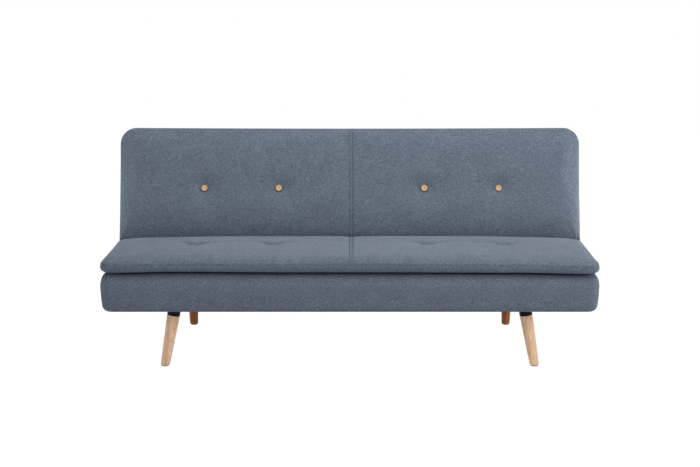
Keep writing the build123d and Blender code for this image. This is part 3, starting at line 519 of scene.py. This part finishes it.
def front_sag(points):
    """How far the front edges have settled: the right corner sits lower, the left part is fuller."""
    x, y = points[..., 0], points[..., 1]
    full = fade(x, -0.82, -0.64) * (1 - 0.65 * fade(x, -0.58, -0.25) - 0.35 * fade(x, 0.10, 0.60))
    return (RIGHT_SAG * fade(x, 0.60, 0.84) - LEFT_FULLNESS * full) * fade(-y, 0.12, 0.32)


def flat_at(height):
    """Crown of a sheet that is level inside its rim."""
    return lambda inset: np.full_like(inset, height)


belly_up = [(0.0, BOX_BELLY), (0.0012, 0.320)]
top_roll = quarter_roll(0.026, 0.330, box_high[2] - 0.003, 6)
belly_up += [(0.0040 + inset, height) for inset, height in top_roll]
belly_up += [(0.0435, box_high[2])]
belly_down = [(0.0, BOX_BELLY), (0.0010, 0.282), (0.0028, 0.258)]
under_roll = quarter_roll(0.024, 0.238, box_low[2], 5)
belly_down += [(0.0050 + inset, height) for inset, height in under_roll]
belly_down += [(0.0420, box_low[2])]
box_rings = len(belly_up)
box_lines = [grid_lines(size / 2, BOX_CORNER, box_rings, 0.022) for size in box_size]
upper = slab_sheet(box_size, BOX_CORNER, belly_up, box_lines, flat_at(box_high[2]))
lower = slab_sheet(box_size, BOX_CORNER, belly_down, box_lines, flat_at(box_low[2]))
points, top_faces, under_faces = join_sheets(upper, lower)
ring, _, _ = ring_numbers(*upper.shape[:2], box_rings)
corners = [ring[:-1, :-1], ring[1:, :-1], ring[1:, 1:], ring[:-1, 1:]]
outermost = np.min(corners, axis=0)
under_faces = under_faces[outermost.ravel() < box_rings - 1]
points[:, 1] += FRONT_TUCK * fade(points[:, 2], 0.316, 0.346) * (points[:, 1] < -0.1)
points[:, :2] += box_middle[:2]
points[:, 2] -= front_sag(points) * fade(points[:, 2], 0.325, 0.350)
box_cover = make_mesh("seat_box_cover", points, np.concatenate([top_faces, under_faces]))
box_cover.data.materials.append(FABRIC)
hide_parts("seat_cover", "seat_foam")
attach(box_cover, "base")
print("seat box cover", len(points), "points")

# %% [markdown]
# A thin black cloth is stapled under the box to keep dust off the springs. It is cut out round the
# front leg plates, ripples a little between its staples and sags by a few millimetres in between.

# %% Dust cloth
dust_low, dust_high = (np.array(corner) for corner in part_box("seat_dust_cover"))
plate_low = np.array(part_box("leg_plates")[0])
PLATE_HALF = np.array([0.028, 0.046])
CUT_GAP = 0.0015
DUST_SAG = 0.0050
DUST_RIPPLE = 0.0008
DUST_THICKNESS = 0.0006
DUST_SPACING = 0.016
cut_half = PLATE_HALF + CUT_GAP
cut_middle = np.array([abs(plate_low[0]), plate_low[1]]) + np.array([-1, 1]) * PLATE_HALF


def lines_with_cuts(low, high, spacing, cuts):
    """Even grid lines from low to high, moved aside where the edge of a cut-out needs its own line."""
    even = np.linspace(low, high, int(round((high - low) / spacing)) + 1)
    away = np.min(np.abs(even[:, None] - np.asarray(cuts)[None, :]), axis=1)
    keep = (away > 0.4 * spacing) | (even == low) | (even == high)
    return np.sort(np.concatenate([even[keep], cuts]))


def dust_sag(x, y):
    """Height of the cloth: a sag that fades at the rim and the cut-outs, ripples that fade inwards."""
    half_x, half_y = 0.5 * (dust_high - dust_low)[:2]
    middle_y = 0.5 * (dust_low + dust_high)[1]
    inset = np.minimum(half_x - np.abs(x), half_y - np.abs(y - middle_y))
    from_cut_x = np.abs(np.abs(x) - cut_middle[0]) - cut_half[0]
    from_cut = np.maximum(from_cut_x, np.abs(y - cut_middle[1]) - cut_half[1])
    held = (1 - np.exp(-inset / 0.06)) * (1 - np.exp(-np.maximum(from_cut, 0) / 0.04))
    wave = np.sin(2 * np.pi * (x + y) / 0.062)
    ripple = np.exp(-inset / 0.03) * wave * np.clip(inset / 0.012, 0, 1)
    return dust_low[2] + 0.0004 - DUST_SAG * held - DUST_RIPPLE * ripple


cuts_x = np.array([-1, -1, 1, 1]) * (cut_middle[0] + np.array([1, -1, -1, 1]) * cut_half[0])
cuts_y = cut_middle[1] + np.array([-1, 1]) * cut_half[1]
dust_x = lines_with_cuts(dust_low[0], dust_high[0], DUST_SPACING, cuts_x)
dust_y = lines_with_cuts(dust_low[1], dust_high[1], DUST_SPACING, cuts_y)
x, y = np.meshgrid(dust_x, dust_y, indexing="ij")
faces = sheet_faces(np.arange(x.size).reshape(x.shape), True)
centre_x, centre_y = x.ravel()[faces].mean(axis=1), y.ravel()[faces].mean(axis=1)
cut_out = np.abs(np.abs(centre_x) - cut_middle[0]) < cut_half[0]
cut_out &= np.abs(centre_y - cut_middle[1]) < cut_half[1]
used, faces = np.unique(faces[~cut_out], return_inverse=True)
points = np.stack([x, y, dust_sag(x, y)], axis=-1).reshape(-1, 3)[used]
dust = make_mesh("seat_dust_cloth", points, faces.reshape(-1, 4))
dust.data.materials.append(finishes["dust_cloth"])
thin = dust.modifiers.new("Cloth thickness", "SOLIDIFY")
thin.thickness = DUST_THICKNESS
thin.offset = 0
dust_size = (dust_high - dust_low)[:2]
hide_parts("seat_dust_cover")
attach(dust, "base")
dust_area = float(dust_size.prod() - 2 * (2 * cut_half).prod())
print("dust cloth", len(points), "points, lowest", round(float(points[:, 2].min()), 4))

# %% [markdown]
# The seat pad is a pillow top: two panels sewn together round the rim and tied down at four tufts. It
# is crowned, drawn in between its corners, and split by a seam down the middle.

# %% Seat pad
pad_low = np.array(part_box("pad_lower_panel")[0])
pad_high = np.array(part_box("pad_upper_panel")[1])
pad_size = (pad_high - pad_low)[:2]
pad_middle = 0.5 * (pad_low + pad_high)
PAD_CORNER = 0.042
PAD_RIM = 0.3862
PAD_PULL = 0.003
PAD_SWELL = 0.0048
REAR_RISE = 0.0020
REAR_DROP = 0.0024
REAR_PUSH = 0.012
REAR_SQUARE = 0.009
FRONT_PUSH = 0.007
END_ROUND = 0.0030
PAD_SPACING = 0.0095
PAD_CAP = 0.004
TUFT_DEPTH = 0.0160
TUFT_ROW = -0.09375
TUFTS = [(x, TUFT_ROW) for x in (-0.574, -0.290, 0.290, 0.574)]
pad_floor = pad_low[2] + 0.0004


def pad_crown(inset):
    """Height of the pad's top by its distance from the rim."""
    insets = [0.020, 0.045, 0.070, 0.100, 0.130, 0.190]
    return pad_high[2] - np.interp(inset, insets, [0.006, 0.0040, 0.0025, 0.0013, 0.0006, 0])


def rim_seam(way):
    """Rows round the rim, upwards or downwards: the seam lies half a millimetre deep."""
    return [(0.0005, PAD_RIM), (0.0001, PAD_RIM + way * 0.0013), (0.0, PAD_RIM + way * 0.0030)]


pad_up = rim_seam(1) + quarter_roll(0.020, PAD_RIM + 0.0050, pad_high[2] - 0.006, 7)
pad_up += [(inset, float(pad_crown(inset))) for inset in (0.024, 0.029, 0.034, 0.038)]
pad_down = rim_seam(-1) + quarter_roll(0.023, PAD_RIM - 0.0050, pad_floor + 0.003, 7)
under_rows = ((0.0275, 0.0024), (0.033, 0.0016), (0.036, 0.0006), (0.038, 0.0))
pad_down += [(inset, pad_floor + rise) for inset, rise in under_rows]
pad_rings = len(pad_up)
TUFT_LINES = TUFT_ROW - pad_middle[1] + np.arange(-0.021, 0.0185, 0.003)
pad_lines = [
    grid_lines(pad_size[0] / 2, PAD_CORNER, pad_rings, PAD_SPACING, SEAM_LINES),
    grid_lines(pad_size[1] / 2, PAD_CORNER, pad_rings, PAD_SPACING, TUFT_LINES),
]
upper = slab_sheet(pad_size, PAD_CORNER, pad_up, pad_lines, pad_crown)
lower = slab_sheet(pad_size, PAD_CORNER, pad_down, pad_lines, flat_at(pad_floor))
for sheet in (upper, lower):
    pull_in(sheet, pad_size, PAD_PULL)
    sheet[..., :2] += pad_middle[:2]
    sheet[..., 1] += REAR_PUSH * fade(sheet[..., 1], pad_high[1] - 0.10, pad_high[1] - 0.01)
    sheet[..., 1] -= FRONT_PUSH * fade(-sheet[..., 1], -pad_low[1] - 0.10, -pad_low[1] - 0.01)
    blunt = np.exp(-((sheet[..., 2] - PAD_RIM - 0.004) / 0.012) ** 2)
    blunt *= fade(np.abs(sheet[..., 0]), 0.84, 0.885)
    sheet[..., 0] -= np.sign(sheet[..., 0]) * END_ROUND * blunt
    sheet[..., 2] -= front_sag(sheet)
print("pad drawn,", upper.shape[0], "by", upper.shape[1], "points a sheet")

# %% Settle, tuft and seam the pad
def smile(points, middle):
    """Share of a blind tuft's depth: exp(-(u / a)^2 - (v / b)^2), steep behind and gentle in front.

    u runs across the pad; v runs towards the backrest along a curve that bends back at both ends.
    """
    across = points[..., 0] - middle[0]
    along = points[..., 1] - middle[1] + 0.010 - 5.5 * across ** 2
    slope = np.where(along < 0, 0.034, 0.0075)
    return np.exp(-(across / 0.036) ** 2 - (along / slope) ** 2)


lift = fade(upper[..., 2], PAD_RIM, pad_high[2] - 0.004)
square = fade(upper[..., 1], pad_high[1] - 0.055, pad_high[1] - 0.005)
square *= fade(upper[..., 2], PAD_RIM, PAD_RIM + 0.018)
upper[..., 1] += REAR_SQUARE * square * fade(-np.abs(upper[..., 0]), -0.875, -0.82)
rear = fade(upper[..., 1], pad_high[1] - 0.17, pad_high[1] - 0.03)
upper[..., 2] += (PAD_SWELL + REAR_RISE * rear) * lift * fade(-np.abs(upper[..., 0]), -0.86, -0.42)
upper[..., 2] -= REAR_DROP * lift * fade(upper[..., 1], pad_high[1] - 0.06, pad_high[1] - 0.01)
tuft_pull = sum(smile(upper, tuft) for tuft in TUFTS)
upper[..., 2] -= TUFT_DEPTH * tuft_pull
ring, _, _ = ring_numbers(*upper.shape[:2], pad_rings)
sewn = (ring < 4) | (np.abs(upper[..., 0] - SEAM_X) < SEAM_HALF) | (tuft_pull > 0.93)
upper = settle("pad_cloth", upper, sewn, PAD_CAP)
upper[..., 2] -= seam_groove(upper) * fade(upper[..., 2], PAD_RIM, PAD_RIM + 0.012)
points, top_faces, under_faces = join_sheets(upper, lower)
pad = make_mesh("seat_pad", points, np.concatenate([top_faces, under_faces]))
pad.data.materials.append(FABRIC)
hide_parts("pad_upper_panel", "pad_lower_panel", "pad_core")
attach(pad, "base")
pad_top = upper
print("seat pad", len(points), "points, top at", round(float(upper[..., 2].max()), 4))

# %% [markdown]
# The backrest is one long cushion on a timber frame. It is easiest to draw lying flat, with its pivot
# at the origin, and then to tip up about the hinge. Four buttons draw hollows into its front, and a
# tuck low down draws the front in behind the pad. Two slots in its lower rear edge make room for the
# hinge brackets.

# %% Backrest cushion
FOLD = math.radians(77)
back_low, back_high = (np.array(corner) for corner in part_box("back_cover"))
BACK_BOTTOM, BACK_TOP = -0.050, 0.468
BACK_REAR, BACK_FRONT = -0.060, 0.060
back_size = (back_high[0] - back_low[0], BACK_TOP - BACK_BOTTOM)
BACK_CORNER = 0.064
BACK_PULL = 0.003
BACK_TAPER = 0.0018
BACK_SPACING = 0.0095
BACK_CAP = 0.005
BACK_BULGE = 0.0055
BUTTON_DEPTH = 0.0095
DRAW_DEPTH = 0.0022
DRAW_SHIFT = np.array([0.022, 0.020, 0.0])
button_names = [name for name in nodes if name.startswith("button_") and name != "button_cords"]


def tip_up(flat):
    """Turns flat places up: y' = y cos - z sin, z' = y sin + z cos, then adds the pivot."""
    x, y, z = flat[..., 0], flat[..., 1], flat[..., 2]
    new_y = y * math.cos(FOLD) - z * math.sin(FOLD)
    new_z = y * math.sin(FOLD) + z * math.cos(FOLD)
    return np.stack([x, new_y, new_z], axis=-1) + PIVOT


def lay_flat(place):
    """The turn of tip_up undone."""
    x, y, z = np.asarray(place) - PIVOT
    flat_y = y * math.cos(FOLD) + z * math.sin(FOLD)
    return np.array([x, flat_y, z * math.cos(FOLD) - y * math.sin(FOLD)])


def back_crown(inset):
    """Height of the backrest's front by its distance from the rim."""
    insets = [0.024, 0.050, 0.080, 0.115, 0.150, 0.205]
    return BACK_FRONT - np.interp(inset, insets, [0.008, 0.0055, 0.0035, 0.002, 0.001, 0])


def seamed_roll(radius, low, seam, width, depth):
    """Rows of a round edge with a seam: a quarter circle, pushed in by depth at the seam's angle."""
    t = np.radians([0, 12, seam - width, seam, seam + width, 42, 54, 66, 78, 90])
    push = np.where(np.arange(10) == 3, depth, 0.0)
    return list(zip(radius - (radius - push) * np.cos(t), low + (radius - push) * np.sin(t)))


back_front = [(0.0, 0.0), (0.0, 0.012), (0.0, 0.022)] + seamed_roll(0.024, 0.028, 26, 4, 0.0020)
back_front += [(inset, float(back_crown(inset))) for inset in (0.030, 0.037, 0.045, 0.052, 0.0576)]
back_rear = [(0.0, 0.0), (0.0, -0.012), (0.0, -0.024), (0.0, -0.034), (0.0, -0.040)]
back_rear += quarter_roll(0.016, -0.044, BACK_REAR, 6)
back_rear += [(0.022, BACK_REAR), (0.0275, BACK_REAR), (0.029, BACK_REAR + 0.0025), (0.031, BACK_REAR)]
back_rear += [(0.044, BACK_REAR), (0.0576, BACK_REAR)]
back_rings = len(back_front)
SEAM_RING = 6
TUCK_LINE, TUCK_START, TUCK_DEPTH = 0.037, 0.092, 0.019
TUCK_LINES = np.concatenate([[0.030, 0.0345], TUCK_LINE + np.linspace(0, 1, 14) ** 1.6 * 0.055])
TUCK_LINES -= 0.5 * (BACK_BOTTOM + BACK_TOP)
back_lines = [
    grid_lines(back_size[0] / 2, BACK_CORNER, back_rings, BACK_SPACING, SEAM_LINES),
    grid_lines(back_size[1] / 2, BACK_CORNER, back_rings, BACK_SPACING, TUCK_LINES),
]
upper = slab_sheet(back_size, BACK_CORNER, back_front, back_lines, back_crown)
lower = slab_sheet(back_size, BACK_CORNER, back_rear, back_lines, flat_at(BACK_REAR))
for sheet in (upper, lower):
    pull_in(sheet, back_size, BACK_PULL)
    sheet[..., 1] += 0.5 * (BACK_BOTTOM + BACK_TOP)
    sheet[..., 0] *= 1 - BACK_TAPER * fade(sheet[..., 1], 0.12, BACK_TOP)
print("backrest drawn flat,", upper.shape[0], "by", upper.shape[1], "points a sheet")

# %% Settle, button and seam the backrest
def tuck(y):
    """Depth of the tuck: 1 - sqrt(1 - u^2) from its start down to its line, and shallower below."""
    u = np.clip((TUCK_START - y) / (TUCK_START - TUCK_LINE), 0, 1)
    return TUCK_DEPTH * (1 - np.sqrt(1 - u * u)) - 0.007 * fade(-y, -TUCK_LINE, 0.02)


front_share = fade(upper[..., 2], 0.028, 0.050)
upper[..., 2] += BACK_BULGE * np.exp(-((upper[..., 1] - 0.15) / 0.07) ** 2) * front_share
upper[..., 2] -= tuck(upper[..., 1]) * front_share
# The seam in the edge lies level where the tuck draws the cover together: at both ends and below.
for here in (SEAM_RING, -1 - SEAM_RING):
    level = 0.5 * (upper[here - 1] + upper[here + 1])
    upper[here] += fade(-upper[here, :, 1:2], -TUCK_START, -TUCK_LINE) * (level - upper[here])
below = upper[SEAM_RING:-SEAM_RING]
below[:, SEAM_RING] = below[:, [SEAM_RING - 1, SEAM_RING + 1]].mean(axis=1)
button_middles = [lay_flat(np.mean(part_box(name), axis=0)) for name in button_names]
button_pull = sum(hollow(upper, middle, 0.010, 0.026) for middle in button_middles)
drawn = sum(hollow(upper, middle + DRAW_SHIFT, 0.0, 0.026) for middle in button_middles)
upper[..., 2] -= BUTTON_DEPTH * button_pull + DRAW_DEPTH * drawn * (1 - button_pull)
ring, _, _ = ring_numbers(*upper.shape[:2], back_rings)
sewn = (ring < 8) | (np.abs(upper[..., 0] - SEAM_X) < SEAM_HALF) | (button_pull > 0.96)
sewn |= np.abs(upper[..., 1] - TUCK_LINE) < 0.004
upper = settle("back_cloth", upper, sewn, BACK_CAP)
upper[..., 2] -= seam_groove(upper) * fade(upper[..., 2], 0.030, 0.046)
back_face = tip_up(upper)
points, front_faces, rear_faces = join_sheets(upper, lower)
back = make_mesh("backrest_cushion", points, np.concatenate([front_faces, rear_faces]))
back.data.materials.append(FABRIC)
print("backrest cushion", len(points), "points")


# %% Slots for the hinges
def slot_block(name, low, high):
    """Plain block between two corners, used as a cutter."""
    square = [[0, 0], [1, 0], [1, 1], [0, 1]]
    pick = np.array([[x, y, z] for z in (0, 1) for x, y in square])
    corners = np.where(pick == 1, high, low)
    walls = [[0, 1, 5, 4], [1, 2, 6, 5], [2, 3, 7, 6], [3, 0, 4, 7]]
    faces = np.array([[0, 3, 2, 1], [4, 5, 6, 7]] + walls)
    block = make_mesh(name, corners, faces)
    block.data.polygons.foreach_set("use_smooth", np.zeros(6, bool))
    block.data.materials.append(FABRIC)
    return block


SLOT_HALF, SLOT_TOP, SLOT_FRONT = 0.0105, 0.056, 0.032
for hinge in ("hinge_bracket_left", "hinge_bracket_right"):
    middle = float(np.mean(np.array(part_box(hinge))[:, 0]))
    low = np.array([middle - SLOT_HALF, BACK_BOTTOM - 0.01, BACK_REAR - 0.01])
    cutter = slot_block("slot_cutter", low, np.array([middle + SLOT_HALF, SLOT_TOP, SLOT_FRONT]))
    cut = back.modifiers.new("Slot", "BOOLEAN")
    cut.object = cutter
    cut.operation = "DIFFERENCE"
    cut.solver = "EXACT"
    shaped = back.evaluated_get(bpy.context.evaluated_depsgraph_get())
    cut_mesh = bpy.data.meshes.new_from_object(shaped)
    back.modifiers.remove(cut)
    back.data = cut_mesh
    bpy.data.objects.remove(cutter)
set_points(back, tip_up(mesh_points(back.data)))
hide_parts("back_cover", "back_foam", "back_rear_panel")
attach(back, "backrest")
print("slots cut,", len(back.data.vertices), "points")

# %% [markdown]
# Both middle seams are topstitched: a row of thread runs each side of the seam and holds the seam
# allowance flat. One more row, of thinner thread in the colour of the cover, runs round the pad just
# above the seam in its rim. A stitch is a short length of thread. We read the line from the settled
# cloth and set one stitch after the other along it.

# %% Topstitching
def line_across(sheet, x):
    """The line that a sheet follows at one x, by linear steps between its grid lines."""
    columns = sheet[:, sheet.shape[1] // 2, 0]
    after = int(np.clip(np.searchsorted(columns, x), 1, len(columns) - 1))
    share = (x - columns[after - 1]) / (columns[after] - columns[after - 1])
    return (1 - share) * sheet[after - 1] + share * sheet[after]


def even_steps(line, pitch):
    """Points at even lengths along a line, and the directions there."""
    length = np.concatenate([[0], np.cumsum(np.linalg.norm(np.diff(line, axis=0), axis=1))])
    marks = np.arange(pitch / 2, length[-1], pitch)

    def at(where):
        return np.stack([np.interp(where, length, line[:, axis]) for axis in range(3)], axis=-1)

    along = at(marks + 0.001) - at(marks - 0.001)
    return at(marks), along / np.linalg.norm(along, axis=1, keepdims=True)


def stitch_shape(length, thick):
    """Points and faces of one stitch along X: four rings of six, tapered and closed at both ends."""
    places = np.array([-0.5, -0.32, 0.32, 0.5]) * length
    radii = np.array([0.35, 1.0, 1.0, 0.35]) * thick / 2
    turn = np.linspace(0, 2 * np.pi, 6, endpoint=False)
    x = np.repeat(places, 6)
    y = (radii[:, None] * np.cos(turn)).ravel()
    z = (radii[:, None] * np.sin(turn)).ravel()
    start = (6 * np.arange(3)[:, None] + np.arange(6)).ravel()
    after = (6 * np.arange(3)[:, None] + (np.arange(6) + 1) % 6).ravel()
    ends = np.array([[3, 2, 1, 0], [5, 4, 3, 0], [18, 19, 20, 21], [18, 21, 22, 23]])
    faces = np.concatenate([np.stack([start, after, after + 6, start + 6], axis=-1), ends])
    return np.stack([x, y, z], axis=-1), faces


def sew(name, rows, body, thread=THREAD, length=0.0050, pitch=0.0072, thick=0.0013):
    """One object with a stitch at each even step of several lines."""
    shape, faces = stitch_shape(length, thick)
    places, along = (np.concatenate(part) for part in zip(*(even_steps(row, pitch) for row in rows)))
    side = np.cross(along, [0.3, 0.2, 1.0])
    side /= np.linalg.norm(side, axis=1, keepdims=True)
    up = np.cross(along, side)
    axes = np.stack([along, side, up], axis=1)
    points = np.einsum("kc,ncd->nkd", shape, axes) + places[:, None, :]
    all_faces = faces[None] + len(shape) * np.arange(len(places))[:, None, None]
    obj = make_mesh(name, points.reshape(-1, 3), all_faces.reshape(-1, 4))
    obj.data.materials.append(thread)
    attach(obj, body)
    print(name, len(places), "stitches")
    return obj


def ring_line(sheet, ring):
    """The closed line that a sheet follows along one of its rings."""
    end = -1 - ring
    near, far = sheet[ring, ring:end], sheet[end, end:ring:-1]
    line = np.concatenate([near, sheet[ring:end, end], far, sheet[end:ring:-1, ring]])
    return np.concatenate([line, line[:1]])


pad_rows = [line_across(pad_top, SEAM_X + gap)[4:-4] for gap in (-STITCH_GAP, STITCH_GAP)]
sew("pad_middle_stitches", pad_rows, "base")
sew("pad_rim_stitches", [ring_line(pad_top, 3)], "base", FABRIC, thick=0.0007)
back_rows = [line_across(back_face, SEAM_X + gap)[3:-3] for gap in (-STITCH_GAP, STITCH_GAP)]
sew("back_middle_stitches", back_rows, "backrest")

# %% [markdown]
# The set is a plain pale floor under a white sky that is brighter in front. A broad lamp hangs
# overhead, one stands on each side of the camera, the right one stronger, and a narrow beam from each
# side picks out the ends. The back gets a lamp of its own. What the camera and mirrors see of the set
# is almost pure white, and the floor keeps a faint shadow.

# %% Stage
def seen_directly(tree):
    """1 for rays from the camera, from a mirror or through glass, 0 for light on the object."""
    rays = tree.nodes.new("ShaderNodeLightPath").outputs
    mirrored = math_node(tree, "MAXIMUM", rays["Is Glossy Ray"], rays["Is Transmission Ray"])
    return math_node(tree, "MAXIMUM", rays["Is Camera Ray"], mirrored)


FLOOR_HALF = 9.0
FLOOR_GLOW = 1.15
SHADOW_SHARE = 0.15
SKY_LEVEL = 0.285
SKY_SWING = 0.09
SKY_FRONT = (0, -0.96, 0.28)
LAMP_TINT = (1.0, 0.92, 1.0)


def floor_material():
    """Nearly white and matt with the faintest mottle; SHADOW_SHARE of the shadow shows."""
    material, tree, shader = new_material("pale_floor")
    cloud = noise(tree, object_coordinates(tree), 3, 2.0, 0.5)
    mottle = ramp(tree, cloud, ((0.3, (0.68, 0.68, 0.68)), (0.7, (0.72, 0.72, 0.72))))
    tree.links.new(mottle, shader.inputs["Base Color"])
    shader.inputs["Roughness"].default_value = 0.9
    glow = add(tree, "ShaderNodeEmission", Strength=FLOOR_GLOW)
    both = tree.nodes.new("ShaderNodeMixShader")
    tree.links.new(math_node(tree, "MULTIPLY", seen_directly(tree), 1 - SHADOW_SHARE), both.inputs[0])
    tree.links.new(shader.outputs[0], both.inputs[1])
    tree.links.new(glow.outputs[0], both.inputs[2])
    tree.links.new(both.outputs[0], tree.nodes["Material Output"].inputs[0])
    return material


floor_points = FLOOR_HALF * np.array([[-1, -1, 0], [1, -1, 0], [1, 1, 0], [-1, 1, 0]])
floor = make_mesh("floor", floor_points, np.array([[0, 1, 2, 3]]))
floor.data.materials.append(floor_material())

world = bpy.data.worlds.new("white_sky")
bpy.context.scene.world = world
world.use_nodes = True
sky = world.node_tree
light = sky.nodes["Background"]
light.inputs["Color"].default_value = (1, 1, 1, 1)
facing = sky.nodes.new("ShaderNodeVectorMath")
facing.operation = "DOT_PRODUCT"
facing.inputs[1].default_value = SKY_FRONT
sky.links.new(sky.nodes.new("ShaderNodeTexCoord").outputs["Generated"], facing.inputs[0])
brighter = math_node(sky, "MULTIPLY", facing.outputs["Value"], SKY_SWING)
sky.links.new(math_node(sky, "ADD", brighter, SKY_LEVEL), light.inputs["Strength"])
white = add(sky, "ShaderNodeBackground", Strength=1.0)
white.inputs["Color"].default_value = (1, 1, 1, 1)
either = sky.nodes.new("ShaderNodeMixShader")
sky.links.new(seen_directly(sky), either.inputs[0])
sky.links.new(light.outputs[0], either.inputs[1])
sky.links.new(white.outputs[0], either.inputs[2])
sky.links.new(either.outputs[0], sky.nodes["World Output"].inputs[0])


def lamp(name, place, target, size, power, colour=(1, 1, 1), spread=180):
    """Square soft lamp that looks at a point; spread is the width of its beam in degrees."""
    data = bpy.data.lights.new(name, "AREA")
    data.color = colour
    data.spread = math.radians(spread)
    data.size = size
    data.energy = power
    obj = bpy.data.objects.new(name, data)
    bpy.context.scene.collection.objects.link(obj)
    obj.location = place
    obj.visible_camera = False
    away = np.array(place) - np.array(target)
    flat = math.hypot(away[0], away[1])
    obj.rotation_euler = (math.atan2(flat, away[2]), 0, math.atan2(away[0], -away[1]))
    return obj


lamp("overhead", (0.3, -0.9, 2.7), (0.05, 0, 0.4), 2.2, 57, (0.96, 0.985, 1.0))
lamp("right_front", (4.2, -2.4, 1.7), (0, 0, 0.4), 1.4, 90, LAMP_TINT)
lamp("left_front", (-4.2, -2.4, 1.7), (0, 0, 0.4), 1.4, 31, LAMP_TINT)
lamp("right_edge", (4.4, 0.35, 0.75), (0.8, 0, 0.55), 0.4, 2.2, spread=16)
lamp("left_edge", (-4.4, 0.35, 0.75), (-0.8, 0, 0.55), 0.4, 1.2, spread=16)
lamp("rear_fill", (0.6, 4.6, 1.9), (0, 0.3, 0.4), 2.6, 95)
print("stage ready")

# %% Camera
CAMERA_PLACE = (0.0007, -6.154, 1.404)
CAMERA_DOWN = math.radians(8.942)
CAMERA_LENS = 84.8
camera_data = bpy.data.cameras.new("camera")
camera_data.sensor_width = 36
camera_data.lens = CAMERA_LENS
camera = bpy.data.objects.new("camera", camera_data)
bpy.context.scene.collection.objects.link(camera)
camera.location = CAMERA_PLACE
camera.rotation_euler = (0.5 * math.pi - CAMERA_DOWN, 0, 0)
bpy.context.scene.camera = camera
bpy.context.scene.view_settings.view_transform = "Standard"
print("camera at", CAMERA_PLACE)
